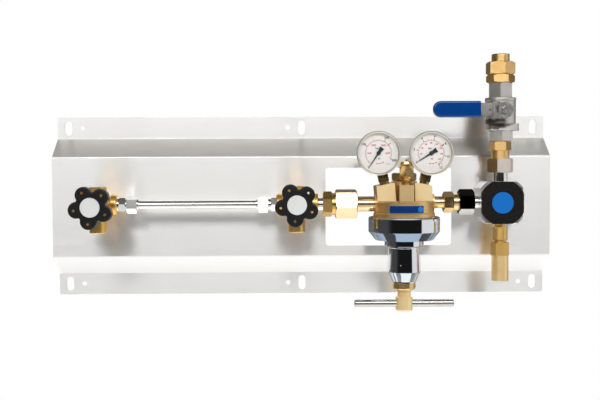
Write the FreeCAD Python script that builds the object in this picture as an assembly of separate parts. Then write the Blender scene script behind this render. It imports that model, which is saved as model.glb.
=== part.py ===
# Gas cylinder manifold on a pressed wall panel.
# Millimetres. +X right, +Y into the wall, +Z up. Origin on the wall, at the panel's middle.
import math
import os
import FreeCAD
import Part

V = FreeCAD.Vector

# Clearances
FIT = 0.05
RUN_FIT = 0.08

# Back panel
PANEL_W = 750.0
PANEL_H = 273.0
SHEET_T = 1.5
PLATE_OUT = 40.0
FLANGE_W = 33.0
SLOPE_W = 28.5
FLANGE_INNER = PANEL_H / 2 - FLANGE_W
PLATE_HALF = FLANGE_INNER - SLOPE_W
BEND_R = 2.0
PANEL_CORNER_R = 3.0
SLOT_EDGE = 16.5
SLOT_X = PANEL_W / 2 - SLOT_EDGE
SLOT_Z = PANEL_H / 2 - SLOT_EDGE
SLOT_W = 11.0
SLOT_L = 22.0
SMALL_HOLE_R = 3.65
SMALL_HOLE_EDGE = 38.0
SMALL_HOLE_X = PANEL_W / 2 - SMALL_HOLE_EDGE
SMALL_HOLE_MID_X = -21.6

# Lines that the fittings lie on
AXIS_OUT = 78.0
MAIN_Z = 4.6
OUTLET_Z = 6.6
COLUMN_X = PANEL_W / 2 - 84.6
REG_X = COLUMN_X - 141.4
VALVE_B_X = REG_X - 157.6
VALVE_B_Z = 5.4
VALVE_A_X = -PANEL_W / 2 + 76.4
VALVE_A_Z = 3.2
BLOCK_Z = 5.8

# Window behind the regulator
WINDOW_X0 = REG_X - 113.7
WINDOW_X1 = REG_X + 76.9
WINDOW_Z0 = -PLATE_HALF + 15.0
WINDOW_Z1 = PLATE_HALF - 17.3
WINDOW_CORNER_R = 4.5

# Panel screws
SCREW_R = 3.0
SCREW_HEAD_R = 5.5
SCREW_HEAD_H = 3.5
SCREW_DEPTH = 9.0
SCREW_PITCH_HALF = 11.0

# Shut-off valves
BARREL_R = 18.0
BARREL_FRONT = 103.0
BARREL_BACK = 60.0
PAD_R = 17.0
PAD_T = 6.0
STALK_R = 13.0
CHAMBER_R = 11.0
CHAMBER_FLOOR = 74.5
REAR_BORE_R = 4.0
REAR_BORE_END = 63.0
BOTTOM_PORT_R = 12.5
BOTTOM_PORT_Z = -36.3
BOTTOM_BORE_R = 8.3
BOTTOM_BORE_TOP = -15.0
FEED_R = 2.5
FEED_OUT = 69.0
TOP_BOSS_FLATS = 22.1
TOP_BOSS_Z = 31.2
SIDE_NECK_R = 12.0
SIDE_RING_R = 15.0
SIDE_RING_L = 10.4
SIDE_BORE_R = 8.5
SIDE_DRILL_R = 5.0
A_RIGHT_END = VALVE_A_X + 28.9
B_LEFT_END = VALVE_B_X - 30.0
B_RIGHT_END = VALVE_B_X + 31.4
SEAT_T = 9.0
SEAT_STEP = 1.5
SEAT_FACE_R = 6.5
SEAT_KEY_W = 3.0
SEAT_TRAVEL = 3.0
SPINDLE_THREAD_R = 4.0
SPINDLE_COLLAR_R = 7.0
SPINDLE_COLLAR_T = 3.0
SPINDLE_R = 4.5
GLAND_FLATS = 26.0
GLAND_INNER = 95.0
GLAND_FRONT = 112.0
PACKING_R = 8.0
PACKING_T = 3.0
SQUARE = 7.0
WHEEL_BACK = 119.0
WHEEL_FRONT = 135.0
WHEEL_HUB_BACK = 113.0
WHEEL_HUB_R = 10.0
LOBES = 5
LOBE_ANGLE = 46.5
LOBE_CENTRE_R = 19.8
LOBE_R = 11.8
LOBE_FILLET = 2.5
WHEEL_EDGE_R = 2.2
LOBE_HOLE_R = 1.7
LOBE_HOLE_CENTRE_R = 23.3
DISC_R = 13.8
DISC_T = 3.0
DISC_PROUD = 2.0

# Link between the valves
TUBE_R = 6.1
TUBE_WALL = 1.0
TUBE_LEFT = A_RIGHT_END + 18.7
TUBE_RIGHT = B_LEFT_END - 16.9
TUBE_INSERT = 4.0
STUD_WASHER_R = 10.3
STUD_WASHER_T = 2.1
STUD_A_HEX = (A_RIGHT_END + STUD_WASHER_T, A_RIGHT_END + 12.3)
STUD_B_HEX = (B_LEFT_END - 7.8, B_LEFT_END)
STUD_FLATS = 19.6
STUD_A_TURN = 7.0
STUD_B_TURN = 0.0
STUD_THREAD_R = 8.8
STUD_BORE_R = 4.5
STUD_IN_PORT = 10.0
NUT_A = (STUD_A_HEX[1] + 1.0, STUD_A_HEX[1] + 16.2)
NUT_B = (STUD_B_HEX[0] - 18.7, STUD_B_HEX[0] - 3.8)
NUT_FLATS = 22.3
NUT_A_TURN = 38.0
NUT_B_TURN = 46.0
NUB_R = 8.4
NUB_L = 2.4
FERRULE_L = 3.0
FERRULE_R = 7.6

# Inlet of the regulator
LINK_NIPPLE_R = 10.0
LINK_NIPPLE_BORE = 5.0
LINK_NIPPLE_IN = 9.0
ADAPTER_X0 = B_RIGHT_END + 6.7
ADAPTER_HEX_END = ADAPTER_X0 + 14.1
ADAPTER_FLATS = 32.4
ADAPTER_TURN = 24.4
ADAPTER_NECK_R = 16.3
ADAPTER_BORE = 6.0
INLET_NUT = (ADAPTER_HEX_END + 4.2, ADAPTER_HEX_END + 35.8)
ADAPTER_NOSE_END = INLET_NUT[0] + 18.2
INLET_NUT_FLATS = 38.8
INLET_NUT_TURN = -11.7
INLET_NUT_THREAD_R = 15.2
INLET_STEM_R = 11.05
INLET_STEM_HEAD_R = 14.0
INLET_STEM_HEAD_L = 6.0
INLET_STEM_END = REG_X - 36.0

# Regulator body
BELLY_R = 43.75
BELLY_TOP = 9.6
BELLY_RIM_R = 44.9
BELLY_RIM_TOP = -9.2
FLANGE_R = 46.5
FLANGE_TOP = -14.2
BODY_BOTTOM = -28.0
ARM_FRONT = 112.0
ARM_BACK = 62.0
ARM_FOOT = 7.0
LEFT_ARM = ((-43.8, 31.3), (-17.8, 36.4), (-15.2, ARM_FOOT), (-41.7, ARM_FOOT))
RIGHT_ARM = ((11.3, 36.3), (36.1, 32.2), (36.5, ARM_FOOT), (11.7, ARM_FOOT))
BOSS_HALF = 10.6
BOSS_OUT = 122.3
BOSS_BACK = 92.0
BOSS_TOP = 32.4
BOSS_EDGE_R = 1.5
TOWER_R = 19.0
TOWER_TOP = 37.8
STEM_PAD_R = 14.0
HP_CHAMBER_R = 9.0
PLUG_THREAD_R = 13.5
PLUG_SHOULDER = 26.0
VALVE_SEAT_Z = 8.0
ORIFICE_R = 3.0
LP_CHAMBER_R = 32.0
LP_CHAMBER_TOP = -20.0
LABEL_X0 = REG_X - 25.6
LABEL_X1 = REG_X + 23.4
LABEL_Z0 = -7.6
LABEL_Z1 = 3.1
LABEL_T = 0.6
LABEL_CORNER_R = 1.5

# Parts inside the regulator
DIAPHRAGM_R = 45.0
DIAPHRAGM_T = 0.8
PUSHER_R = 17.0
PUSHER_T = 3.0
POPPET_R = 6.0
POPPET_T = 5.0
POPPET_STEM_R = 2.5
POPPET_PIN_R = 1.5
POPPET_TRAVEL = 1.0
POPPET_GUIDE = 6.0
PLUG_FLATS = 31.6
PLUG_TOP = 50.0
SMALL_SPRING_WIRE = 0.55
SMALL_SPRING_R = 4.4
MAIN_SPRING_WIRE = 2.1
MAIN_SPRING_R = 15.5
SPRING_PLATE_Z = -84.0
SPRING_PLATE_T = 5.0
SPRING_PLATE_R = 18.6

# Bonnet
BONNET_R = 52.15
BONNET_TOP = FLANGE_TOP
BONNET_RING_END = -36.7
BONNET_CONE_R = 42.15
BONNET_CONE_END = -48.3
BONNET_COLLAR_R = 28.5
BONNET_COLLAR_END = -57.8
BARREL_TUBE_R = 23.5
BARREL_FOOT_R = 24.6
BARREL_END = -95.0
NOSE_R = 17.8
NOSE_TAPER_END = -109.1
NOSE_END = -110.7
BONNET_BORE = 38.0
BARREL_BORE = 19.5
VENT_R = 1.4
VENT_X = REG_X - 7.8
VENT_Z = -83.9

# Adjusting screw
ADJUST_R = 9.65
ADJUST_TRAVEL = 8.0
ADJUST_BOSS_TOP = -131.4
ADJUST_BOSS_END = -153.0
ADJUST_BOSS_R = 12.45
TEE_Z = -141.9
TEE_R = 5.5
TEE_HALF = 73.0
LOCK_COLLAR_R = 16.95
LOCK_COLLAR_END = -121.2
LOCK_SCREW_X = REG_X + 3.0
LOCK_SCREW_Z = -116.2
LOCK_SCREW_R = 2.5

# Relief fitting between the gauges
RELIEF_X = REG_X + 0.2
BOSS_X = RELIEF_X - 1.9
RELIEF_OUT = 104.7
RELIEF_FLATS = 19.4

# Gauges
LEFT_GAUGE = (REG_X - 41.1, 78.2, -12.5, (REG_X - 31.4, 33.45))
RIGHT_GAUGE = (REG_X + 34.2, 77.9, 12.5, (REG_X + 25.2, 33.9))
GAUGES = (LEFT_GAUGE, RIGHT_GAUGE)
GAUGE_FRONT = 120.0
GAUGE_BACK = 94.0
GAUGE_R = 31.55
GAUGE_CASE_R = 27.6
GAUGE_WALL = 1.2
BEZEL_T = 7.4
BEZEL_STEP = 0.8
BEZEL_CONE = 3.1
BEZEL_LIP_R = 28.6
GLASS_OUT = 119.0
GLASS_T = 2.0
GLASS_R = 30.0
DIAL_OUT = 113.5
DIAL_T = 0.8
DIAL_R = 28.2
POINTER_OUT = 115.2
POINTER_T = 0.6
POINTER_TIP_R = 22.8
POINTER_TAIL_R = 9.3
POINTER_HUB_R = 3.0
POINTER_SHAFT_R = 1.0
LEFT_POINTER_ANGLE = 236.0
RIGHT_POINTER_ANGLE = 212.0
SOCKET_SQUARE = 14.0
SOCKET_Y = 104.0
SOCKET_THREAD_R = 4.5
SOCKET_THREAD_L = 8.0
SOCKET_REACH = 20.0

# Outlet
OUTLET_STEM_START = REG_X + 33.0
OUTLET_STEM_R = 8.55
OUTLET_HEX = (REG_X + 57.3, REG_X + 71.8)
OUTLET_HEX_FLATS = 27.2
OUTLET_THREAD_R = 12.65
OUTLET_NOSE_END = OUTLET_HEX[1] + 18.2
OUTLET_BORE = 5.0
OUTLET_NUT = (OUTLET_HEX[1] + 7.4, OUTLET_HEX[1] + 30.0)
OUTLET_NUT_FLATS = 33.2
BLOCK_NIPPLE_R = 9.35
BLOCK_NIPPLE_HEAD_R = 11.5
BLOCK_NIPPLE_HEAD_L = 5.0

# Outlet block and cap
BLOCK_W = 61.6
BLOCK_FRONT = 91.5
BLOCK_TURN_R = 37.5
CAP_T = 4.0
CAP_TURN_R = 34.0
CAP_SPIGOT_R = 20.0
CAP_SPIGOT_L = 6.0
BADGE_R = 15.7
BADGE_T = 0.8
BLOCK_BORE = 5.0
BLOCK_SCREW_HALF = 18.0
PORT_DEPTH = 10.0
PORT_R = 9.0

# Riser above the block
TOP_NIPPLE_R = 10.7
TOP_NIPPLE_HEAD_R = 12.5
SWIVEL_NUT = (49.7, 70.5)
SWIVEL_FLATS = 33.8
SWIVEL_TURN = -25.0
ADAPTER_R = 12.95
BRASS_HEX = (81.4, 95.7)
BRASS_FLATS = 27.6
BRASS_TURN = 18.0
RISER_BORE = 8.0

# Ball valve
BV_LOWER_FLATS = 32.8
BV_LOWER_TURN = -5.0
BV_LOWER_END = 111.0
LUG_LEFT = 19.0
LUG_RIGHT = 27.0
LUG_HALF_D = 11.0
LUG_END = 121.4
HOUSING_R = 22.05
HOUSING_TOP = 154.0
END_RING_R = 22.5
END_RING_TOP = 158.7
END_FLATS = 32.8
END_TURN = -13.0
END_TOP = 180.5
END_THREAD_R = 18.5
END_THREAD_Z = 149.5
BALL_Z = 139.6
BALL_R = 14.0
BALL_BORE = 8.0
BALL_SLOT_W = 5.0
BALL_SLOT_D = 3.0
CAVITY_R = 15.0
SEAT_RING_R = 12.0
STEM_X = COLUMN_X
STEM_R = 5.0
STEM_SQUARE = 6.5
STEM_BOSS_R = 9.5
LEVER_OUT = 109.0
LEVER_T = 3.0
LEVER_GAP = 0.5
STEM_BOSS_OUT = LEVER_OUT - LEVER_T - LEVER_GAP
STEM_THREAD_R = 2.4
LEVER_NUT_FLATS = 9.0
LEVER_NUT_T = 4.5
LEVER_END_R = 11.5
LEVER_WIDE_HALF = 11.8
LEVER_WIDE_X = STEM_X - 18.0
LEVER_MID_HALF = 10.0
LEVER_MID_X = STEM_X - 34.1
LEVER_MID_IN = 4.0
LEVER_TONGUE_HALF = 7.5
LEVER_TONGUE_X = STEM_X - 95.4
LEVER_SLOT = (STEM_X - 14.4, STEM_X - 9.4, 135.2, 146.6)
LEVER_HOLE_X = STEM_X - 21.8
LEVER_HOLE_R = 1.6
LEVER_AXIS_Z = 139.9
LEVER_GROOVE_W = 1.3
LEVER_GROOVE_D = 1.2
SLEEVE_X0 = STEM_X - 103.4
SLEEVE_X1 = LEVER_MID_X - 1.8
SLEEVE_Z0 = 129.0
SLEEVE_Z1 = 152.3
SLEEVE_END_R = 10.4
SLEEVE_Y0 = LEVER_OUT + 4.0
SLEEVE_Y1 = LEVER_OUT - 7.0
SLEEVE_EDGE = 2.6

# Union at the top
UNION_HEX_TOP = 192.5
UNION_FLATS = 36.0
UNION_TURN = 20.0
UNION_THREAD_R = 15.6
UNION_NOSE_Z = 202.5
UNION_NUT_TOP = 211.2
UNION_NUT_FLATS = 37.4
UNION_NUT_TURN = 5.6
TAIL_R = 12.95
TAIL_HEAD_R = 15.0
TAIL_HEAD_L = 3.5
TAIL_TOP = 222.4
TAIL_SOCKET_R = 11.05
TAIL_SOCKET_L = 12.0

# Safety relief valve below the block
SRV_NECK_R = 7.45
SRV_NECK_END = -29.7
SRV_BODY_R = 11.1
SRV_BODY_END = -49.5
SRV_RING_R = 8.35
SRV_RING_END = -52.5
SRV_THREAD_R = 7.5
SRV_THREAD_END = -58.0
SRV_BORE = 5.6
SRV_SEAT_Z = -34.0
SRV_ORIFICE = 2.5
SRV_DISC_T = 4.0
SRV_DISC_TRAVEL = 2.0
HOOD_HEX_END = -71.8
HOOD_FLATS = 26.4
HOOD_TURN = 7.3
HOOD_R = 12.5
HOOD_END = -108.9
HOOD_BORE = 9.5
HOOD_SHELF_Z = -68.0
HOOD_SHELF_T = 3.0

AXES = {
    "x": (V(1, 0, 0), V(0, -1, 0), V(0, 0, 1)),
    "y": (V(0, 1, 0), V(1, 0, 0), V(0, 0, 1)),
    "z": (V(0, 0, 1), V(0, -1, 0), V(1, 0, 0)),
}


def x_line(z, out=AXIS_OUT):
    return ("x", V(0, -out, z))


def y_line(x, z):
    return ("y", V(x, 0, z))


def z_line(x, out=AXIS_OUT):
    return ("z", V(x, -out, 0))


MAIN = x_line(MAIN_Z)
OUTLET = x_line(OUTLET_Z)
REG = z_line(REG_X)
COLUMN = z_line(COLUMN_X)
STEM = y_line(STEM_X, BALL_Z)


def turned(line, outline):
    direction, across, _ = AXES[line[0]]
    points = [line[1] + across * r + direction * s for r, s in outline]
    face = Part.Face(Part.makePolygon(points + [points[0]]))
    return face.revolve(line[1], direction, 360)


def bar(line, radius, start, end):
    low = min(start, end)
    direction = AXES[line[0]][0]
    return Part.makeCylinder(radius, abs(end - start), line[1] + direction * low, direction)


def bevelled(line, radius, start, end, bevel):
    low = min(start, end)
    high = max(start, end)
    outline = [(0, low), (radius - bevel, low), (radius, low + bevel)]
    outline += [(radius, high - bevel), (radius - bevel, high), (0, high)]
    return turned(line, outline)


def soft_bar(line, radius, start, end, edge):
    solid = bar(line, radius, start, end)
    rims = [e for e in solid.Edges if isinstance(e.Curve, Part.Circle)]
    return solid.makeFillet(edge, rims)


def prism(line, flats, start, end, turn=30.0, sides=6):
    direction, across, third = AXES[line[0]]
    low = min(start, end)
    radius = flats / 2 / math.cos(math.pi / sides)
    points = []
    for i in range(sides):
        angle = math.radians(turn + 360.0 * i / sides)
        spoke = across * (radius * math.cos(angle)) + third * (radius * math.sin(angle))
        points.append(line[1] + spoke + direction * low)
    face = Part.Face(Part.makePolygon(points + [points[0]]))
    return face.extrude(direction * abs(end - start))


def nut_bar(line, flats, start, end, turn=30.0, both=True, sides=6):
    low = min(start, end)
    high = max(start, end)
    corner = flats / 2 / math.cos(math.pi / sides)
    drop = (corner - flats / 2 * 0.97) * math.tan(math.radians(30))
    low_r = flats / 2 * 0.97
    outline = [(0, low), (low_r, low), (corner + 0.01, low + drop)]
    outline += [(corner + 0.01, high - drop), (low_r, high), (0, high)]
    if not both:
        outline = [(0, low), (corner + 0.01, low), (corner + 0.01, high - drop)]
        outline += [(low_r, high), (0, high)]
    return prism(line, flats, low, high, turn, sides).common(turned(line, outline))


def block(x0, x1, y0, y1, z0, z1):
    corner = V(min(x0, x1), min(y0, y1), min(z0, z1))
    return Part.makeBox(abs(x1 - x0), abs(y1 - y0), abs(z1 - z0), corner)


def fused(shapes):
    whole = shapes[0].fuse(shapes[1:])
    return whole.removeSplitter()


def coil(line, mean_r, wire_r, start, end, turns):
    low = min(start, end) + wire_r
    height = abs(end - start) - 2 * wire_r
    helix = Part.makeHelix(height / turns, height, mean_r)
    ring = Part.Wire([Part.Circle(V(mean_r, 0, 0), V(0, 1, 0), wire_r).toShape()])
    spring = Part.Wire(helix.Edges).makePipeShell([ring], True, True)
    solid = spring if spring.ShapeType == "Solid" else Part.Solid(spring)
    solid.translate(line[1] + V(0, 0, low))
    return solid


# Back panel

def slot_cutter(x, z):
    half = SLOT_L / 2 - SLOT_W / 2
    depth = PLATE_OUT
    middle = block(x - SLOT_W / 2, x + SLOT_W / 2, -depth, depth, z - half, z + half)
    ends = [bar(y_line(x, z + s * half), SLOT_W / 2, -depth, depth) for s in (-1, 1)]
    return middle.fuse(ends)


def screw_places():
    places = []
    for x, z in ((VALVE_A_X, VALVE_A_Z), (VALVE_B_X, VALVE_B_Z)):
        places += [(x, z - SCREW_PITCH_HALF), (x, z + SCREW_PITCH_HALF)]
    places += [(COLUMN_X + s * BLOCK_SCREW_HALF, BLOCK_Z) for s in (-1, 1)]
    return places


def back_panel():
    slope = math.atan2(PLATE_OUT - SHEET_T, FLANGE_INNER - PLATE_HALF)
    shift = SHEET_T * math.tan(slope / 2)
    half = [(SHEET_T, PANEL_H / 2), (SHEET_T, FLANGE_INNER), (PLATE_OUT, PLATE_HALF)]
    back = [(0, PANEL_H / 2), (0, FLANGE_INNER - shift)]
    back += [(PLATE_OUT - SHEET_T, PLATE_HALF - shift)]
    front = half + [(out, -z) for out, z in reversed(half)]
    rear = [(out, -z) for out, z in back] + list(reversed(back))
    points = [V(-PANEL_W / 2, -out, z) for out, z in front + rear]
    sheet = Part.Face(Part.makePolygon(points + [points[0]])).extrude(V(PANEL_W, 0, 0))
    small = []
    large = []
    for edge in sheet.Edges:
        middle = edge.CenterOfMass
        if abs(edge.Length - PANEL_W) > 0.01 or abs(abs(middle.z) - PANEL_H / 2) < 0.01:
            continue
        at_front = abs(middle.y + PLATE_OUT) < 0.01 or abs(middle.y) < 0.01
        (large if at_front else small).append(edge)
    sheet = sheet.makeFillet(BEND_R + SHEET_T, large)
    small_ends = [(e.CenterOfMass.y, e.CenterOfMass.z) for e in small]
    inner = [
        e for e in sheet.Edges
        if abs(e.Length - PANEL_W) < 0.01
        and any(abs(e.CenterOfMass.y - y) + abs(e.CenterOfMass.z - z) < 0.01 for y, z in small_ends)
    ]
    sheet = sheet.makeFillet(BEND_R, inner)
    corners = [
        e for e in sheet.Edges
        if abs(e.Length - SHEET_T) < 0.01
        and abs(abs(e.CenterOfMass.x) - PANEL_W / 2) < 0.01
        and abs(abs(e.CenterOfMass.z) - PANEL_H / 2) < 0.01
    ]
    sheet = sheet.makeFillet(PANEL_CORNER_R, corners)
    window = block(WINDOW_X0, WINDOW_X1, -PLATE_OUT - 5, -PLATE_OUT + 5, WINDOW_Z0, WINDOW_Z1)
    window = window.makeFillet(WINDOW_CORNER_R, [e for e in window.Edges if abs(e.Length - 10) < 0.01])
    cutters = [window]
    for side in (-1, 1):
        cutters += [slot_cutter(x, side * SLOT_Z) for x in (-SLOT_X, 0, SLOT_X)]
        for x in (-SMALL_HOLE_X, SMALL_HOLE_MID_X, SMALL_HOLE_X):
            cutters.append(bar(y_line(x, side * SLOT_Z), SMALL_HOLE_R, -5, 5))
    for x, z in screw_places():
        cutters.append(bar(y_line(x, z), SCREW_R + 0.3, -PLATE_OUT - 5, -PLATE_OUT + 5))
    return sheet.cut(cutters)


def panel_screws():
    screws = []
    seat = -PLATE_OUT + SHEET_T
    for x, z in screw_places():
        head = soft_bar(y_line(x, z), SCREW_HEAD_R, seat, seat + SCREW_HEAD_H, 1.2)
        socket = prism(y_line(x, z), 4.0, seat + 1.4, seat + SCREW_HEAD_H + 1)
        shank = bar(y_line(x, z), SCREW_R, seat - SHEET_T - SCREW_DEPTH, seat)
        screws.append(fused([head.cut(socket), shank]))
    return Part.makeCompound(screws)


def screw_bores(places):
    deep = SCREW_DEPTH + 1.5
    return [bar(y_line(x, z), SCREW_R + FIT, -PLATE_OUT - deep, -PLATE_OUT + 1) for x, z in places]


# Shut-off valves

def side_port(z, body_x, end, ring_r):
    side = 1 if end > body_x else -1
    line = x_line(MAIN_Z)
    neck = bar(line, SIDE_NECK_R, body_x, end - side * SIDE_RING_L / 2)
    ring = soft_bar(line, ring_r, end - side * SIDE_RING_L, end, 2.4)
    return [neck, ring]


def side_bore(body_x, end):
    side = 1 if end > body_x else -1
    line = x_line(MAIN_Z)
    wide = bar(line, SIDE_BORE_R, end - side * (STUD_IN_PORT + 1), end + side)
    narrow = bar(line, SIDE_DRILL_R, body_x + side * (CHAMBER_R - 3), end)
    return [wide, narrow]


def valve_body(x, z, ends):
    line = y_line(x, z)
    outline = [(0, -BARREL_FRONT), (BARREL_R - 1.5, -BARREL_FRONT), (BARREL_R, -BARREL_FRONT + 1.5)]
    outline += [(BARREL_R, -BARREL_BACK - 4), (STALK_R, -BARREL_BACK)]
    outline += [(STALK_R, -PLATE_OUT - PAD_T - 3), (PAD_R, -PLATE_OUT - PAD_T)]
    outline += [(PAD_R, -PLATE_OUT), (0, -PLATE_OUT)]
    shapes = [turned(line, outline)]
    shapes.append(bevelled(z_line(x), BOTTOM_PORT_R, BOTTOM_PORT_Z, 0, 0.8))
    shapes.append(nut_bar(z_line(x), TOP_BOSS_FLATS, 5, TOP_BOSS_Z, 30.0, both=False))
    for end, ring_r in ends:
        shapes += side_port(z, x, end, ring_r)
    cutters = [bar(line, CHAMBER_R, -BARREL_FRONT - 1, -CHAMBER_FLOOR)]
    cutters.append(bar(line, REAR_BORE_R, -CHAMBER_FLOOR - 1, -REAR_BORE_END))
    key = SEAT_KEY_W / 2 + RUN_FIT
    slot_end = CHAMBER_FLOOR + SEAT_T + SEAT_TRAVEL + 2
    cutters.append(block(x - key, x + key, -slot_end, -CHAMBER_FLOOR, z + 5, z + CHAMBER_R + 2))
    cutters.append(bar(z_line(x), BOTTOM_BORE_R, BOTTOM_PORT_Z - 1, BOTTOM_BORE_TOP))
    cutters.append(bar(z_line(x, FEED_OUT), FEED_R, BOTTOM_BORE_TOP - 1, z))
    for end, _ in ends:
        cutters += side_bore(x, end)
    cutters += screw_bores([(x, z - SCREW_PITCH_HALF), (x, z + SCREW_PITCH_HALF)])
    return fused(shapes).cut(cutters)


def valve_a_body():
    return valve_body(VALVE_A_X, VALVE_A_Z, [(A_RIGHT_END, SIDE_RING_R)])


def valve_b_body():
    ends = [(B_LEFT_END, SIDE_RING_R + 0.6), (B_RIGHT_END, SIDE_RING_R + 1.0)]
    return valve_body(VALVE_B_X, VALVE_B_Z, ends)


def gland(x, z):
    line = y_line(x, z)
    thread = bar(line, CHAMBER_R - FIT, -BARREL_FRONT, -GLAND_INNER)
    head = nut_bar(line, GLAND_FLATS, -GLAND_FRONT, -BARREL_FRONT)
    solid = fused([thread, head])
    collar_room = SPINDLE_COLLAR_T + 0.2
    hole = bar(line, SPINDLE_R + RUN_FIT, -GLAND_FRONT - 1, -GLAND_INNER + 1)
    recess = bar(line, SPINDLE_COLLAR_R + RUN_FIT, -GLAND_INNER - collar_room, -GLAND_INNER + 1)
    packing = bar(line, PACKING_R, -GLAND_FRONT + 3, -GLAND_FRONT + 3 + PACKING_T)
    return solid.cut([hole, recess, packing])


def valve_glands():
    return Part.makeCompound([gland(VALVE_A_X, VALVE_A_Z), gland(VALVE_B_X, VALVE_B_Z)])


def valve_seat(x, z):
    line = y_line(x, z)
    top = CHAMBER_FLOOR + SEAT_T
    step = CHAMBER_FLOOR + SEAT_STEP
    disc = bar(line, CHAMBER_R - RUN_FIT, -top, -step)
    face = bar(line, SEAT_FACE_R, -step, -CHAMBER_FLOOR)
    half = SEAT_KEY_W / 2
    key = block(x - half, x + half, -top, -step, z + 5, z + CHAMBER_R + 1.6)
    thread = bar(line, SPINDLE_THREAD_R + FIT, -top - 1, -step)
    passages = []
    for i in range(4):
        angle = math.radians(45 + 90 * i)
        place = y_line(x + 8.0 * math.cos(angle), z + 8.0 * math.sin(angle))
        passages.append(bar(place, 1.4, -top - 1, -CHAMBER_FLOOR))
    return fused([disc, face, key]).cut([thread] + passages)


def valve_a_seat():
    return valve_seat(VALVE_A_X, VALVE_A_Z)


def valve_b_seat():
    return valve_seat(VALVE_B_X, VALVE_B_Z)


def spindle(x, z):
    line = y_line(x, z)
    tip = CHAMBER_FLOOR + SEAT_STEP + SEAT_TRAVEL + 0.3
    collar_front = GLAND_INNER + SPINDLE_COLLAR_T + 0.2
    square_back = WHEEL_HUB_BACK - 0.5
    front = WHEEL_FRONT - 3.0
    thread = bar(line, SPINDLE_THREAD_R, -collar_front, -tip)
    collar = bar(line, SPINDLE_COLLAR_R, -collar_front + 0.1, -collar_front + SPINDLE_COLLAR_T)
    shaft = bar(line, SPINDLE_R, -square_back, -collar_front + 1)
    square = prism(line, SQUARE, -front, -square_back, 45.0, 4)
    square = square.common(bar(line, SPINDLE_R, -front - 1, -square_back + 1))
    return fused([thread, collar, shaft, square])


def valve_a_spindle():
    return spindle(VALVE_A_X, VALVE_A_Z)


def valve_b_spindle():
    return spindle(VALVE_B_X, VALVE_B_Z)


def lobed_outline(y):
    def spot(radius, angle):
        return V(radius * math.cos(angle), y, radius * math.sin(angle))

    step = 2 * math.pi / LOBES
    half_gap = LOBE_CENTRE_R * math.sin(step / 2)
    reach = LOBE_R + LOBE_FILLET
    fillet_centre_r = LOBE_CENTRE_R * math.cos(step / 2) + math.sqrt(reach ** 2 - half_gap ** 2)
    edges = []
    for i in range(LOBES):
        angle = math.radians(LOBE_ANGLE) + i * step
        lobe = spot(LOBE_CENTRE_R, angle)
        before = spot(fillet_centre_r, angle - step / 2)
        after = spot(fillet_centre_r, angle + step / 2)
        following = spot(LOBE_CENTRE_R, angle + step)
        first = lobe + (before - lobe) * (LOBE_R / reach)
        last = lobe + (after - lobe) * (LOBE_R / reach)
        resume = following + (after - following) * (LOBE_R / reach)
        outer = spot(LOBE_CENTRE_R + LOBE_R, angle)
        valley = spot(fillet_centre_r - LOBE_FILLET, angle + step / 2)
        edges.append(Part.Arc(first, outer, last).toShape())
        edges.append(Part.Arc(last, valley, resume).toShape())
    return Part.Wire(edges)


def handwheel(x, z):
    line = y_line(x, z)
    wheel = Part.Face(lobed_outline(-WHEEL_FRONT)).extrude(V(0, WHEEL_FRONT - WHEEL_BACK, 0))
    rims = []
    for edge in wheel.Edges:
        if abs(edge.CenterOfMass.y + WHEEL_FRONT) < 0.01 or abs(edge.CenterOfMass.y + WHEEL_BACK) < 0.01:
            rims.append(edge)
    wheel = wheel.makeFillet(WHEEL_EDGE_R, rims)
    wheel.translate(V(x, 0, z))
    hub = bar(line, WHEEL_HUB_R, -WHEEL_BACK - 1, -WHEEL_HUB_BACK)
    wheel = fused([wheel, hub])
    square = prism(line, SQUARE + 2 * FIT, -WHEEL_FRONT - 1, -WHEEL_HUB_BACK + 1, 45.0, 4)
    square = square.common(bar(line, SPINDLE_R + FIT, -WHEEL_FRONT - 2, -WHEEL_HUB_BACK + 2))
    recess = bar(line, DISC_R + FIT, -WHEEL_FRONT - 1, -WHEEL_FRONT + DISC_T - DISC_PROUD)
    hollow = turned(line, [
        (WHEEL_HUB_R + 1, -WHEEL_BACK + 1), (WHEEL_HUB_R + 1, -WHEEL_BACK - 8),
        (LOBE_CENTRE_R - 1, -WHEEL_BACK - 8), (LOBE_CENTRE_R - 1, -WHEEL_BACK + 1),
    ])
    holes = []
    for i in range(LOBES):
        angle = math.radians(LOBE_ANGLE + 360.0 * i / LOBES)
        spot = y_line(x + LOBE_HOLE_CENTRE_R * math.cos(angle), z + LOBE_HOLE_CENTRE_R * math.sin(angle))
        holes.append(bar(spot, LOBE_HOLE_R, -WHEEL_FRONT - 1, -WHEEL_BACK + 1))
    return wheel.cut([square, recess, hollow] + holes)


def valve_a_handwheel():
    return handwheel(VALVE_A_X, VALVE_A_Z)


def valve_b_handwheel():
    return handwheel(VALVE_B_X, VALVE_B_Z)


def cover_disc(x, z):
    line = y_line(x, z)
    back = -WHEEL_FRONT + DISC_T - DISC_PROUD
    front = -WHEEL_FRONT - DISC_PROUD
    outline = [(0, front), (DISC_R - 0.7, front), (DISC_R, front + 0.7), (DISC_R, back), (0, back)]
    return turned(line, outline)


def valve_a_cap():
    return cover_disc(VALVE_A_X, VALVE_A_Z)


def valve_b_cap():
    return cover_disc(VALVE_B_X, VALVE_B_Z)


# Link between the valves

def link_tube():
    tube = bar(MAIN, TUBE_R, TUBE_LEFT, TUBE_RIGHT)
    return tube.cut(bar(MAIN, TUBE_R - TUBE_WALL, TUBE_LEFT - 1, TUBE_RIGHT + 1))


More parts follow.
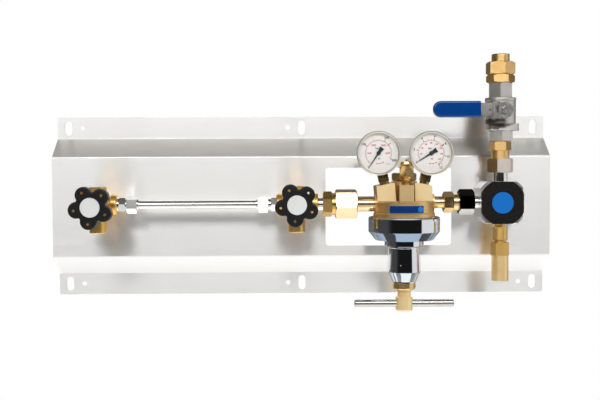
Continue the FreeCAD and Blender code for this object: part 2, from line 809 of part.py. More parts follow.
def stud(port_end, hexagon, turn, side):
    mouth = TUBE_LEFT + TUBE_INSERT if side > 0 else TUBE_RIGHT - TUBE_INSERT
    inside = port_end - side * STUD_IN_PORT
    shapes = [bevelled(MAIN, SIDE_BORE_R - FIT, inside, port_end, 0.8)]
    if abs(hexagon[0 if side > 0 else 1] - port_end) > 0.01:
        shapes.append(bar(MAIN, STUD_WASHER_R, port_end, port_end + side * STUD_WASHER_T))
    shapes.append(nut_bar(MAIN, STUD_FLATS, hexagon[0], hexagon[1], turn))
    shapes.append(bar(MAIN, STUD_THREAD_R, hexagon[0] if side < 0 else hexagon[1], mouth))
    bore = bar(MAIN, STUD_BORE_R, inside - side, mouth + side)
    tube_end = TUBE_LEFT if side > 0 else TUBE_RIGHT
    counter = bar(MAIN, TUBE_R + FIT, tube_end, mouth + side)
    return fused(shapes).cut([bore, counter])


def tube_studs():
    left = stud(A_RIGHT_END, STUD_A_HEX, STUD_A_TURN, 1)
    right = stud(B_LEFT_END, STUD_B_HEX, STUD_B_TURN, -1)
    return Part.makeCompound([left, right])


def tube_nut(span, turn, side):
    near = span[0] if side > 0 else span[1]
    far = span[1] if side > 0 else span[0]
    mouth = TUBE_LEFT + TUBE_INSERT if side > 0 else TUBE_RIGHT - TUBE_INSERT
    body = nut_bar(MAIN, NUT_FLATS, near, far, turn)
    nub = soft_bar(MAIN, NUB_R, far - side, far + side * NUB_L, 0.6)
    thread = bar(MAIN, STUD_THREAD_R + FIT, near - side, mouth)
    room = bar(MAIN, FERRULE_R + FIT, mouth - side, mouth + side * FERRULE_L)
    hole = bar(MAIN, TUBE_R + FIT, near, far + side * (NUB_L + 1))
    ferrule = turned(MAIN, [
        (TUBE_R + FIT / 2, mouth), (FERRULE_R, mouth),
        (FERRULE_R, mouth + side * FERRULE_L), (TUBE_R + FIT / 2, mouth + side * FERRULE_L),
    ])
    return [fused([body, nub]).cut([thread, room, hole]), ferrule]


def tube_nuts():
    return Part.makeCompound(tube_nut(NUT_A, NUT_A_TURN, 1) + tube_nut(NUT_B, NUT_B_TURN, -1))


# Inlet of the regulator

def pipe(line, radius, bore, start, end):
    return bar(line, radius, start, end).cut(bar(line, bore, min(start, end) - 1, max(start, end) + 1))


def link_nipple():
    left = B_RIGHT_END - LINK_NIPPLE_IN
    right = ADAPTER_X0 + LINK_NIPPLE_IN
    ends = bar(MAIN, SIDE_BORE_R - FIT, left, right)
    middle = bar(MAIN, LINK_NIPPLE_R, B_RIGHT_END, ADAPTER_X0)
    return fused([ends, middle]).cut(bar(MAIN, LINK_NIPPLE_BORE, left - 1, right + 1))


def inlet_adapter():
    shapes = [nut_bar(MAIN, ADAPTER_FLATS, ADAPTER_X0, ADAPTER_HEX_END, ADAPTER_TURN)]
    shapes.append(bar(MAIN, ADAPTER_NECK_R, ADAPTER_HEX_END - 1, INLET_NUT[0]))
    shapes.append(bevelled(MAIN, INLET_NUT_THREAD_R, INLET_NUT[0] - 1, ADAPTER_NOSE_END, 0.9))
    socket = bar(MAIN, SIDE_BORE_R, ADAPTER_X0 - 1, ADAPTER_X0 + LINK_NIPPLE_IN)
    bore = bar(MAIN, ADAPTER_BORE, ADAPTER_X0, ADAPTER_NOSE_END + 1)
    return fused(shapes).cut([socket, bore])


def inlet_nut():
    head_end = ADAPTER_NOSE_END + INLET_STEM_HEAD_L
    body = nut_bar(MAIN, INLET_NUT_FLATS, INLET_NUT[0], INLET_NUT[1], INLET_NUT_TURN)
    thread = bar(MAIN, INLET_NUT_THREAD_R + FIT, INLET_NUT[0] - 1, head_end)
    hole = bar(MAIN, INLET_STEM_R + FIT, INLET_NUT[0], INLET_NUT[1] + 1)
    return body.cut([thread, hole])


def inlet_stem():
    head_end = ADAPTER_NOSE_END + INLET_STEM_HEAD_L
    head = bar(MAIN, INLET_STEM_HEAD_R, ADAPTER_NOSE_END, head_end)
    shank = bar(MAIN, INLET_STEM_R, ADAPTER_NOSE_END + 1, INLET_STEM_END)
    return fused([head, shank]).cut(bar(MAIN, ADAPTER_BORE, ADAPTER_NOSE_END - 1, INLET_STEM_END + 1))


# Regulator

def arm(corners):
    points = [V(REG_X + x, -ARM_FRONT, z) for x, z in corners]
    solid = Part.Face(Part.makePolygon(points + [points[0]])).extrude(V(0, ARM_FRONT - ARM_BACK, 0))
    uprights = [e for e in solid.Edges if abs(e.Length - (ARM_FRONT - ARM_BACK)) < 0.01]
    top = [e for e in uprights if e.CenterOfMass.z > BELLY_TOP]
    return solid.makeFillet(1.8, top)


def relief_boss():
    boss = block(BOSS_X - BOSS_HALF, BOSS_X + BOSS_HALF, -BOSS_OUT, -BOSS_BACK, ARM_FOOT, BOSS_TOP)
    uprights = [e for e in boss.Edges if abs(e.Length - (BOSS_TOP - ARM_FOOT)) < 0.01]
    return boss.makeFillet(BOSS_EDGE_R, uprights)


def tilted(shape, gauge):
    shape.rotate(V(gauge[3][0], 0, gauge[3][1]), V(0, 1, 0), gauge[2])
    return shape


def socket_line(gauge):
    return z_line(gauge[3][0], SOCKET_Y)


def regulator_body():
    outline = [(0, BODY_BOTTOM), (FLANGE_R - FIT, BODY_BOTTOM), (FLANGE_R - FIT, FLANGE_TOP)]
    outline += [(BELLY_RIM_R, FLANGE_TOP), (BELLY_RIM_R, BELLY_RIM_TOP), (BELLY_R, BELLY_RIM_TOP + 1)]
    outline += [(BELLY_R, BELLY_TOP - 1.2), (BELLY_R - 1.2, BELLY_TOP), (0, BELLY_TOP)]
    shapes = [turned(REG, outline), arm(LEFT_ARM), arm(RIGHT_ARM)]
    boss_line = z_line(RELIEF_X, RELIEF_OUT)
    shapes.append(relief_boss())
    shapes.append(bevelled(REG, TOWER_R, 0, TOWER_TOP, 1.0))
    left_pad = REG_X + LEFT_ARM[3][0] - 1.6
    shapes.append(bar(MAIN, STEM_PAD_R, left_pad, REG_X - 20))
    shapes.append(bar(OUTLET, STEM_PAD_R - 2, REG_X + 20, REG_X + BELLY_R - 0.2))
    cutters = [bar(REG, PLUG_THREAD_R, PLUG_SHOULDER, TOWER_TOP + 1)]
    cutters.append(bar(REG, HP_CHAMBER_R, VALVE_SEAT_Z, PLUG_SHOULDER + 1))
    cutters.append(bar(REG, ORIFICE_R, LP_CHAMBER_TOP - 1, VALVE_SEAT_Z + 1))
    cutters.append(bar(REG, LP_CHAMBER_R, BODY_BOTTOM - 1, LP_CHAMBER_TOP))
    cutters.append(bar(MAIN, INLET_STEM_R + FIT, left_pad - 5, INLET_STEM_END))
    cutters.append(bar(MAIN, ADAPTER_BORE, INLET_STEM_END - 1, REG_X - 23))
    cutters.append(bar(x_line(VALVE_SEAT_Z + 3.5), 2.2, REG_X - 27, REG_X))
    cutters.append(bar(OUTLET, OUTLET_STEM_R + FIT, OUTLET_STEM_START, REG_X + BELLY_R + 8))
    cutters.append(bar(OUTLET, OUTLET_BORE, REG_X + 22, OUTLET_STEM_START + 1))
    cutters.append(bar(z_line(REG_X + 26), 3.0, LP_CHAMBER_TOP - 1, OUTLET_Z))
    cutters.append(bar(boss_line, 1.4, LP_CHAMBER_TOP - 1, BOSS_TOP))
    cutters.append(bar(boss_line, 4.0, BOSS_TOP - 9, BOSS_TOP + 1))
    for gauge in GAUGES:
        deep = gauge[3][1] - SOCKET_THREAD_L - 1
        cutters.append(tilted(bar(socket_line(gauge), SOCKET_THREAD_R + FIT, deep, gauge[3][1] + 3), gauge))
        flat = block(gauge[3][0] - 20, gauge[3][0] + 20, -ARM_FRONT - 1, -ARM_FRONT + 17,
                     gauge[3][1], gauge[3][1] + 6)
        cutters.append(tilted(flat, gauge))
    return fused(shapes).cut(cutters)


def regulator_label():
    band = turned(REG, [
        (BELLY_R, LABEL_Z0), (BELLY_R + LABEL_T, LABEL_Z0),
        (BELLY_R + LABEL_T, LABEL_Z1), (BELLY_R, LABEL_Z1),
    ])
    outline = block(LABEL_X0, LABEL_X1, -AXIS_OUT - BELLY_R - 5, -AXIS_OUT, LABEL_Z0, LABEL_Z1)
    corners = [e for e in outline.Edges if abs(e.Length - BELLY_R - 5) < 0.01]
    return band.common(outline.makeFillet(LABEL_CORNER_R, corners))


def body_plug():
    head = nut_bar(REG, PLUG_FLATS, TOWER_TOP, PLUG_TOP)
    thread = bar(REG, PLUG_THREAD_R - FIT, PLUG_SHOULDER, TOWER_TOP + 1)
    guide = bar(REG, POPPET_STEM_R + RUN_FIT, PLUG_SHOULDER - 1, PLUG_SHOULDER + POPPET_GUIDE + 4)
    return fused([head, thread]).cut(guide)


def poppet():
    head = bar(REG, POPPET_R, VALVE_SEAT_Z, VALVE_SEAT_Z + POPPET_T)
    guide = bar(REG, POPPET_STEM_R, VALVE_SEAT_Z + 1, PLUG_SHOULDER + POPPET_GUIDE)
    pin = bar(REG, POPPET_PIN_R, BODY_BOTTOM + 0.2, VALVE_SEAT_Z + 1)
    return fused([head, guide, pin])


def poppet_spring():
    return coil(REG, SMALL_SPRING_R, SMALL_SPRING_WIRE, VALVE_SEAT_Z + POPPET_T, PLUG_SHOULDER, 5)


def diaphragm():
    top = BODY_BOTTOM
    under = top - DIAPHRAGM_T
    outline = [(0, top), (DIAPHRAGM_R, top), (DIAPHRAGM_R, under), (PUSHER_R, under)]
    outline += [(PUSHER_R, under - PUSHER_T), (0, under - PUSHER_T)]
    return turned(REG, outline)


def main_spring():
    top = BODY_BOTTOM - DIAPHRAGM_T - PUSHER_T
    return coil(REG, MAIN_SPRING_R, MAIN_SPRING_WIRE, SPRING_PLATE_Z, top, 6)


def spring_plate():
    under = SPRING_PLATE_Z - SPRING_PLATE_T
    outline = [(0, SPRING_PLATE_Z + 4), (9, SPRING_PLATE_Z + 4), (11, SPRING_PLATE_Z)]
    outline += [(SPRING_PLATE_R, SPRING_PLATE_Z), (SPRING_PLATE_R, under), (0, under)]
    return turned(REG, outline)


def regulator_bonnet():
    shoulder = BODY_BOTTOM - DIAPHRAGM_T
    outline = [(FLANGE_R, BONNET_TOP), (BONNET_R - 2.4, BONNET_TOP), (BONNET_R - 0.7, BONNET_TOP - 0.7)]
    outline += [(BONNET_R, BONNET_TOP - 2.4), (BONNET_R, BONNET_RING_END + 0.8)]
    outline += [(BONNET_R - 0.8, BONNET_RING_END), (BONNET_CONE_R, BONNET_CONE_END)]
    outline += [(BONNET_COLLAR_R, BONNET_CONE_END), (BONNET_COLLAR_R, BONNET_COLLAR_END + 1)]
    outline += [(BONNET_COLLAR_R - 1, BONNET_COLLAR_END), (BARREL_TUBE_R - 0.8, BONNET_COLLAR_END)]
    outline += [(BARREL_TUBE_R - 0.8, BONNET_COLLAR_END - 1.6), (BARREL_TUBE_R, BONNET_COLLAR_END - 2.4)]
    outline += [(BARREL_FOOT_R, BARREL_END), (NOSE_R, NOSE_TAPER_END), (NOSE_R, NOSE_END)]
    outline += [(ADJUST_R + RUN_FIT, NOSE_END), (ADJUST_R + RUN_FIT, -99.0)]
    outline += [(BARREL_BORE, -96.0), (BARREL_BORE, -44.0), (BONNET_BORE, -38.0)]
    outline += [(BONNET_BORE, shoulder), (FLANGE_R, shoulder)]
    vent = bar(y_line(VENT_X, VENT_Z), VENT_R, -AXIS_OUT - BARREL_TUBE_R - 5, -AXIS_OUT - 12)
    return turned(REG, outline).cut(vent)


def adjusting_screw():
    top = SPRING_PLATE_Z - SPRING_PLATE_T
    thread = bevelled(REG, ADJUST_R, ADJUST_BOSS_TOP - 1, top, 1.0)
    boss = turned(REG, [
        (0, ADJUST_BOSS_END), (ADJUST_BOSS_R - 2.4, ADJUST_BOSS_END),
        (ADJUST_BOSS_R - 0.8, ADJUST_BOSS_END + 0.7), (ADJUST_BOSS_R, ADJUST_BOSS_END + 2.4),
        (ADJUST_BOSS_R, ADJUST_BOSS_TOP - 1.5), (ADJUST_BOSS_R - 2.2, ADJUST_BOSS_TOP), (0, ADJUST_BOSS_TOP),
    ])
    cross = bar(x_line(TEE_Z), TEE_R + FIT, REG_X - ADJUST_BOSS_R - 1, REG_X + ADJUST_BOSS_R + 1)
    return fused([thread, boss]).cut(cross)


def tee_bar():
    return bevelled(x_line(TEE_Z), TEE_R, REG_X - TEE_HALF, REG_X + TEE_HALF, 0.8)


def lock_collar():
    outline = [(ADJUST_R + RUN_FIT, NOSE_END), (LOCK_COLLAR_R - 0.6, NOSE_END)]
    outline += [(LOCK_COLLAR_R, NOSE_END - 0.6), (LOCK_COLLAR_R, LOCK_COLLAR_END + 2.0)]
    outline += [(LOCK_COLLAR_R - 1.9, LOCK_COLLAR_END), (ADJUST_R + RUN_FIT, LOCK_COLLAR_END)]
    ring = turned(REG, outline)
    line = y_line(LOCK_SCREW_X, LOCK_SCREW_Z)
    face = AXIS_OUT + LOCK_COLLAR_R
    inner = -AXIS_OUT - ADJUST_R - 2
    ring = ring.cut(bar(line, LOCK_SCREW_R, -face - 1, inner))
    screw = bevelled(line, LOCK_SCREW_R, -face - 0.4, inner, 0.3)
    slot = block(LOCK_SCREW_X - 3, LOCK_SCREW_X + 3, -face - 1, -face + 0.7,
                 LOCK_SCREW_Z - 0.35, LOCK_SCREW_Z + 0.35)
    slot.rotate(V(LOCK_SCREW_X, 0, LOCK_SCREW_Z), V(0, 1, 0), 35)
    return Part.makeCompound([ring, screw.cut(slot)])


def regulator_relief():
    line = z_line(RELIEF_X, RELIEF_OUT)
    thread = bar(line, 4.0 - FIT, BOSS_TOP - 8, BOSS_TOP + 1)
    lower = nut_bar(line, 12.2, BOSS_TOP, 39.6, 25.0)
    cone = turned(line, [(0, 39.0), (5.8, 39.0), (6.4, 40.5), (9.0, 44.4), (0, 44.4)])
    upper = nut_bar(line, RELIEF_FLATS, 44.2, 60.4, -11.0)
    collar = turned(line, [(0, 60.0), (9.2, 60.8), (9.2, 62.5), (8.3, 65.8), (0, 65.8)])
    tip = turned(line, [(0, 65.5), (3.4, 65.8), (1.0, 69.4), (0, 69.6)])
    return fused([thread, lower, cone, upper, collar, tip])


# Gauges

def gauge_case(gauge):
    line = y_line(gauge[0], gauge[1])
    back = -GAUGE_BACK
    front = -GAUGE_FRONT
    bezel_end = front + BEZEL_T
    dial_back = -DIAL_OUT + DIAL_T
    inner = GAUGE_CASE_R - GAUGE_WALL
    pocket = DIAL_R + FIT
    outline = [(0, back), (GAUGE_CASE_R - 2, back), (GAUGE_CASE_R, back - 2)]
    outline += [(GAUGE_CASE_R, bezel_end + BEZEL_CONE), (GAUGE_R - 1.35, bezel_end + BEZEL_STEP)]
    outline += [(GAUGE_R, bezel_end), (GAUGE_R, front + 1.0), (GAUGE_R - 1.0, front)]
    outline += [(BEZEL_LIP_R + 0.8, front), (BEZEL_LIP_R, front + 0.6)]
    outline += [(BEZEL_LIP_R, -GLASS_OUT), (GLASS_R, -GLASS_OUT), (GLASS_R, -GLASS_OUT + GLASS_T)]
    outline += [(pocket, -GLASS_OUT + GLASS_T), (pocket, dial_back), (inner, dial_back)]
    outline += [(inner, back - GAUGE_WALL), (0, back - GAUGE_WALL)]
    mouth = prism(socket_line(gauge), SOCKET_SQUARE + 2 * FIT, gauge[3][1], gauge[3][1] + SOCKET_REACH + 2, 45.0, 4)
    return turned(line, outline).cut(tilted(mouth, gauge))


def gauge_cases():
    return Part.makeCompound([gauge_case(gauge) for gauge in GAUGES])


def gauge_socket(gauge):
    line = socket_line(gauge)
    base = gauge[3][1]
    stem = bevelled(line, SOCKET_SQUARE / 2 - 0.3, base, base + 5.5, 0.6)
    square = prism(line, SOCKET_SQUARE, base + 4, base + SOCKET_REACH, 45.0, 4)
    thread = bevelled(line, SOCKET_THREAD_R, base - SOCKET_THREAD_L, base + 1, 0.6)
    bore = bar(line, 1.5, base - SOCKET_THREAD_L - 1, base + SOCKET_REACH - 4)
    return tilted(fused([stem, square, thread]).cut(bore), gauge)


def gauge_sockets():
    return Part.makeCompound([gauge_socket(gauge) for gauge in GAUGES])


def gauge_dials():
    dials = []
    for gauge in GAUGES:
        line = y_line(gauge[0], gauge[1])
        dials.append(pipe(line, DIAL_R, POINTER_SHAFT_R + RUN_FIT, -DIAL_OUT, -DIAL_OUT + DIAL_T))
    return Part.makeCompound(dials)


def gauge_glasses():
    glasses = []
    for gauge in GAUGES:
        line = y_line(gauge[0], gauge[1])
        glasses.append(bar(line, GLASS_R - FIT, -GLASS_OUT, -GLASS_OUT + GLASS_T))
    return Part.makeCompound(glasses)


def pointer(gauge, angle):
    line = y_line(gauge[0], gauge[1])
    tip = V(math.cos(math.radians(angle)), 0, math.sin(math.radians(angle)))
    across = V(-tip.z, 0, tip.x)
    centre = V(gauge[0], -POINTER_OUT, gauge[1])
    points = [
        centre + tip * POINTER_TIP_R + across * 0.35, centre + across * 1.3, centre - tip * 1.5 + across * 2.2,
        centre - tip * POINTER_TAIL_R + across * 3.5, centre - tip * POINTER_TAIL_R - across * 3.5,
        centre - tip * 1.5 - across * 2.2, centre - across * 1.3, centre + tip * POINTER_TIP_R - across * 0.35,
    ]
    blade = Part.Face(Part.makePolygon(points + [points[0]])).extrude(V(0, POINTER_T, 0))
    hub = bar(line, POINTER_HUB_R, -POINTER_OUT - 0.5, -POINTER_OUT + POINTER_T + 0.3)
    shaft = bar(line, POINTER_SHAFT_R, -POINTER_OUT, -DIAL_OUT + DIAL_T + 5)
    return fused([blade, hub, shaft])


def gauge_left_pointer():
    return pointer(GAUGES[0], LEFT_POINTER_ANGLE)


def gauge_right_pointer():
    return pointer(GAUGES[1], RIGHT_POINTER_ANGLE)


# Outlet, block and nipples

def outlet_stem():
    shapes = [bar(OUTLET, OUTLET_STEM_R, OUTLET_STEM_START, OUTLET_HEX[0] + 1)]
    shapes.append(nut_bar(OUTLET, OUTLET_HEX_FLATS, OUTLET_HEX[0], OUTLET_HEX[1]))
    shapes.append(bevelled(OUTLET, OUTLET_THREAD_R, OUTLET_HEX[1] - 1, OUTLET_NOSE_END, 0.8))
    bore = bar(OUTLET, OUTLET_BORE, OUTLET_STEM_START - 1, OUTLET_NOSE_END + 1)
    return fused(shapes).cut(bore)


def outlet_nut():
    head_end = OUTLET_NOSE_END + BLOCK_NIPPLE_HEAD_L
    body = nut_bar(OUTLET, OUTLET_NUT_FLATS, OUTLET_NUT[0], OUTLET_NUT[1])
    thread = bar(OUTLET, OUTLET_THREAD_R + FIT, OUTLET_NUT[0] - 1, head_end)
    hole = bar(OUTLET, BLOCK_NIPPLE_R + FIT, OUTLET_NUT[0], OUTLET_NUT[1] + 1)
    return body.cut([thread, hole])


def block_nipple():
    face = COLUMN_X - BLOCK_W / 2
    head = bar(OUTLET, BLOCK_NIPPLE_HEAD_R, OUTLET_NOSE_END, OUTLET_NOSE_END + BLOCK_NIPPLE_HEAD_L)
    shank = bar(OUTLET, BLOCK_NIPPLE_R, OUTLET_NOSE_END + 1, face)
    thread = bar(OUTLET, PORT_R - FIT, face - 1, face + PORT_DEPTH)
    return fused([head, shank, thread]).cut(bar(OUTLET, OUTLET_BORE, OUTLET_NOSE_END - 1, face + PORT_DEPTH + 1))


def top_nipple():
    top = BLOCK_Z + BLOCK_W / 2
    head_z = SWIVEL_NUT[0] + 5
    thread = bar(COLUMN, PORT_R - FIT, top - PORT_DEPTH, top + 1)
    shank = bar(COLUMN, TOP_NIPPLE_R, top, head_z + 1)
    head = bar(COLUMN, TOP_NIPPLE_HEAD_R, head_z, head_z + 4)
    return fused([thread, shank, head]).cut(bar(COLUMN, BLOCK_BORE, top - PORT_DEPTH - 1, head_z + 5))


def pipe_nipples():
    return Part.makeCompound([link_nipple(), block_nipple(), top_nipple()])


def outlet_block():
    half = BLOCK_W / 2
    solid = block(COLUMN_X - half, COLUMN_X + half, -BLOCK_FRONT, -PLATE_OUT, BLOCK_Z - half, BLOCK_Z + half)
    solid = solid.makeChamfer(0.8, solid.Edges)
    line = y_line(COLUMN_X, BLOCK_Z)
    solid = solid.common(bar(line, BLOCK_TURN_R, -BLOCK_FRONT - 1, -PLATE_OUT + 1))
    cutters = [bar(OUTLET, PORT_R, COLUMN_X - half - 1, COLUMN_X - half + PORT_DEPTH)]
    cutters.append(bar(OUTLET, BLOCK_BORE, COLUMN_X - half, COLUMN_X))
    cutters.append(bar(COLUMN, PORT_R, BLOCK_Z + half - PORT_DEPTH, BLOCK_Z + half + 1))
    cutters.append(bar(COLUMN, BLOCK_BORE, BLOCK_Z - half, BLOCK_Z + half))
    cutters.append(bar(COLUMN, SRV_NECK_R + FIT, BLOCK_Z - half - 1, BLOCK_Z - half + PORT_DEPTH))
    cutters.append(bar(line, CAP_SPIGOT_R + FIT, -BLOCK_FRONT - 1, -BLOCK_FRONT + CAP_SPIGOT_L))
    cutters += screw_bores([(COLUMN_X + s * BLOCK_SCREW_HALF, BLOCK_Z) for s in (-1, 1)])
    return solid.cut(cutters)


def block_cap():
    half = BLOCK_W / 2
    line = y_line(COLUMN_X, BLOCK_Z)
    front = -BLOCK_FRONT - CAP_T
    plate = block(COLUMN_X - half, COLUMN_X + half, front, -BLOCK_FRONT, BLOCK_Z - half, BLOCK_Z + half)
    plate = plate.common(turned(line, [
        (0, front), (CAP_TURN_R - 1.2, front), (CAP_TURN_R, front + 1.2),
        (CAP_TURN_R, -BLOCK_FRONT), (0, -BLOCK_FRONT),
    ]))
    spigot = bar(line, CAP_SPIGOT_R, -BLOCK_FRONT - 1, -BLOCK_FRONT + CAP_SPIGOT_L - 0.1)
    return fused([plate, spigot])


def cap_badge():
    line = y_line(COLUMN_X, BLOCK_Z)
    base = -BLOCK_FRONT - CAP_T
    front = base - BADGE_T
    outline = [(0, base), (BADGE_R, base), (BADGE_R - 0.3, front), (0, front)]
    return turned(line, outline)


def blue_labels():
    return Part.makeCompound([regulator_label(), cap_badge()])


# Riser and ball valve

def swivel_nut():
    body = nut_bar(COLUMN, SWIVEL_FLATS, SWIVEL_NUT[0], SWIVEL_NUT[1], SWIVEL_TURN)
    thread = bar(COLUMN, ADAPTER_R + FIT, SWIVEL_NUT[0] + 5, SWIVEL_NUT[1] + 1)
    hole = bar(COLUMN, TOP_NIPPLE_R + FIT, SWIVEL_NUT[0] - 1, SWIVEL_NUT[1])
    return body.cut([thread, hole])


def brass_adapter():
    low = SWIVEL_NUT[0] + 9
    shapes = [bevelled(COLUMN, ADAPTER_R, low, BRASS_HEX[0] + 1, 0.8)]
    shapes.append(nut_bar(COLUMN, BRASS_FLATS, BRASS_HEX[0], BRASS_HEX[1], BRASS_TURN))
    shapes.append(bar(COLUMN, 10.0 - FIT, BRASS_HEX[1] - 1, BRASS_HEX[1] + 10))
    return fused(shapes).cut(bar(COLUMN, BALL_BORE, low - 1, BRASS_HEX[1] + 11))


def stop_lug():
    low = BV_LOWER_END
    radius = LUG_HALF_D
    middle = block(COLUMN_X - LUG_LEFT + 2, COLUMN_X + LUG_RIGHT - radius,
                   -AXIS_OUT - radius, -AXIS_OUT + radius, low, LUG_END)
    end = z_line(COLUMN_X + LUG_RIGHT - radius)
    left = block(COLUMN_X - LUG_LEFT, COLUMN_X, -AXIS_OUT - radius + 2, -AXIS_OUT + radius - 2, low, LUG_END)
    return [middle, bar(end, radius, low, LUG_END), left]


def ball_valve_body():
    shapes = [nut_bar(COLUMN, BV_LOWER_FLATS, BRASS_HEX[1], BV_LOWER_END, BV_LOWER_TURN)]
    shapes += stop_lug()
    shapes.append(bevelled(COLUMN, HOUSING_R, LUG_END - 0.5, HOUSING_TOP, 0.6))
    shapes.append(bevelled(STEM, STEM_BOSS_R, -STEM_BOSS_OUT, -AXIS_OUT - 10, 0.6))
    cutters = [bar(COLUMN, 10.0, BRASS_HEX[1] - 1, BRASS_HEX[1] + 10)]
    seat_low = BALL_Z - BALL_R
    cutters.append(bar(COLUMN, BALL_BORE, BRASS_HEX[1], seat_low))
    cutters.append(bar(COLUMN, CAVITY_R, seat_low, END_THREAD_Z + 0.1))
    cutters.append(bar(COLUMN, END_THREAD_R, END_THREAD_Z, HOUSING_TOP + 1))
    cutters.append(bar(STEM, STEM_R + RUN_FIT, -STEM_BOSS_OUT - 1, -AXIS_OUT - 5))
    return fused(shapes).cut(cutters)


def ball_valve_end():
    ring = soft_bar(COLUMN, END_RING_R, HOUSING_TOP, END_RING_TOP, 1.0)
    hexagon = nut_bar(COLUMN, END_FLATS, END_RING_TOP - 0.5, END_TOP, END_TURN)
    thread = bar(COLUMN, END_THREAD_R - FIT, END_THREAD_Z, HOUSING_TOP + 1)
    socket = bar(COLUMN, 11.0, END_TOP - 10, END_TOP + 1)
    bore = bar(COLUMN, BALL_BORE, END_THREAD_Z - 1, END_TOP)
    pocket = bar(COLUMN, CAVITY_R, END_THREAD_Z - 1, BALL_Z + BALL_R)
    return fused([ring, hexagon, thread]).cut([socket, bore, pocket])


def seat_ring(side):
    edge = BALL_Z + side * BALL_R
    inner = BALL_Z + side * 8.5
    ring = bar(COLUMN, CAVITY_R - FIT, inner, edge)
    hole = bar(COLUMN, BALL_BORE, inner - 8, inner + 8)
    ball_room = Part.makeSphere(BALL_R + RUN_FIT, V(COLUMN_X, -AXIS_OUT, BALL_Z))
    return ring.cut([hole, ball_room])


def packing(x, z):
    line = y_line(x, z)
    return pipe(line, PACKING_R - FIT, SPINDLE_R + RUN_FIT, -GLAND_FRONT + 3, -GLAND_FRONT + 3 + PACKING_T)


def seal_rings():
    rings = [seat_ring(-1), seat_ring(1)]
    rings += [packing(VALVE_A_X, VALVE_A_Z), packing(VALVE_B_X, VALVE_B_Z)]
    return Part.makeCompound(rings)


def ball():
    end = math.sqrt(BALL_R ** 2 - BALL_BORE ** 2)
    centre = V(COLUMN_X, -AXIS_OUT, BALL_Z)
    left = centre + V(-end, 0, BALL_BORE)
    right = centre + V(end, 0, BALL_BORE)
    arch = Part.Arc(left, centre + V(0, 0, BALL_R), right).toShape()
    face = Part.Face(Part.Wire([arch, Part.makeLine(right, left)]))
    sphere = face.revolve(centre, V(1, 0, 0), 360)
    front = -AXIS_OUT - BALL_R
    half = BALL_SLOT_W / 2
    slot = block(STEM_X - 8, STEM_X + 8, front - 1, front + BALL_SLOT_D, BALL_Z - half, BALL_Z + half)
    return sphere.cut(slot)


def ball_stem():
    shoulder = -AXIS_OUT - BALL_R + 0.2
    round_part = bar(STEM, STEM_R, -LEVER_OUT + LEVER_T, shoulder - 1.2)
    half = BALL_SLOT_W / 2 - FIT
    tang = block(STEM_X - 4.5, STEM_X + 4.5, shoulder - 2, shoulder + BALL_SLOT_D - 0.5,
                 BALL_Z - half, BALL_Z + half)
    tang = tang.common(bar(STEM, STEM_R, shoulder - 3, shoulder + 5))
    square = prism(STEM, STEM_SQUARE, -LEVER_OUT, -LEVER_OUT + LEVER_T, 45.0, 4)
    thread = bevelled(STEM, STEM_THREAD_R, -LEVER_OUT - LEVER_NUT_T - 0.8, -LEVER_OUT + 1, 0.4)
    square = square.common(bar(STEM, STEM_R, -LEVER_OUT - 1, -LEVER_OUT + LEVER_T + 1))
    return fused([round_part, tang, square, thread])


def lever():
    def strip(x0, x1, half):
        return block(x0, x1, -LEVER_OUT, -LEVER_OUT + LEVER_T, LEVER_AXIS_Z - half, LEVER_AXIS_Z + half)

    shapes = [bar(STEM, LEVER_END_R, -LEVER_OUT, -LEVER_OUT + LEVER_T)]
    shapes.append(strip(LEVER_WIDE_X, STEM_X - 7, LEVER_WIDE_HALF))
    shapes.append(strip(STEM_X - 8, STEM_X, LEVER_END_R - 1))
    shapes.append(strip(LEVER_MID_X - LEVER_MID_IN, LEVER_WIDE_X + 1, LEVER_MID_HALF))
    shapes.append(strip(LEVER_TONGUE_X, LEVER_MID_X, LEVER_TONGUE_HALF))
    x0, x1, z0, z1 = LEVER_SLOT
    cutters = [block(x0, x1, -LEVER_OUT - 1, -LEVER_OUT + LEVER_T + 1, z0, z1)]
    hole_line = y_line(LEVER_HOLE_X, LEVER_AXIS_Z)
    cutters.append(bar(hole_line, LEVER_HOLE_R, -LEVER_OUT - 1, -LEVER_OUT + LEVER_T + 1))
    cutters.append(block(LEVER_WIDE_X - LEVER_GROOVE_W, LEVER_WIDE_X, -LEVER_OUT - 1, -LEVER_OUT + LEVER_GROOVE_D,
                         LEVER_AXIS_Z - LEVER_WIDE_HALF, LEVER_AXIS_Z + LEVER_WIDE_HALF))
    cutters.append(prism(STEM, STEM_SQUARE + 2 * FIT, -LEVER_OUT - 1, -LEVER_OUT + LEVER_T + 1, 45.0, 4))
    return fused(shapes).cut(cutters)


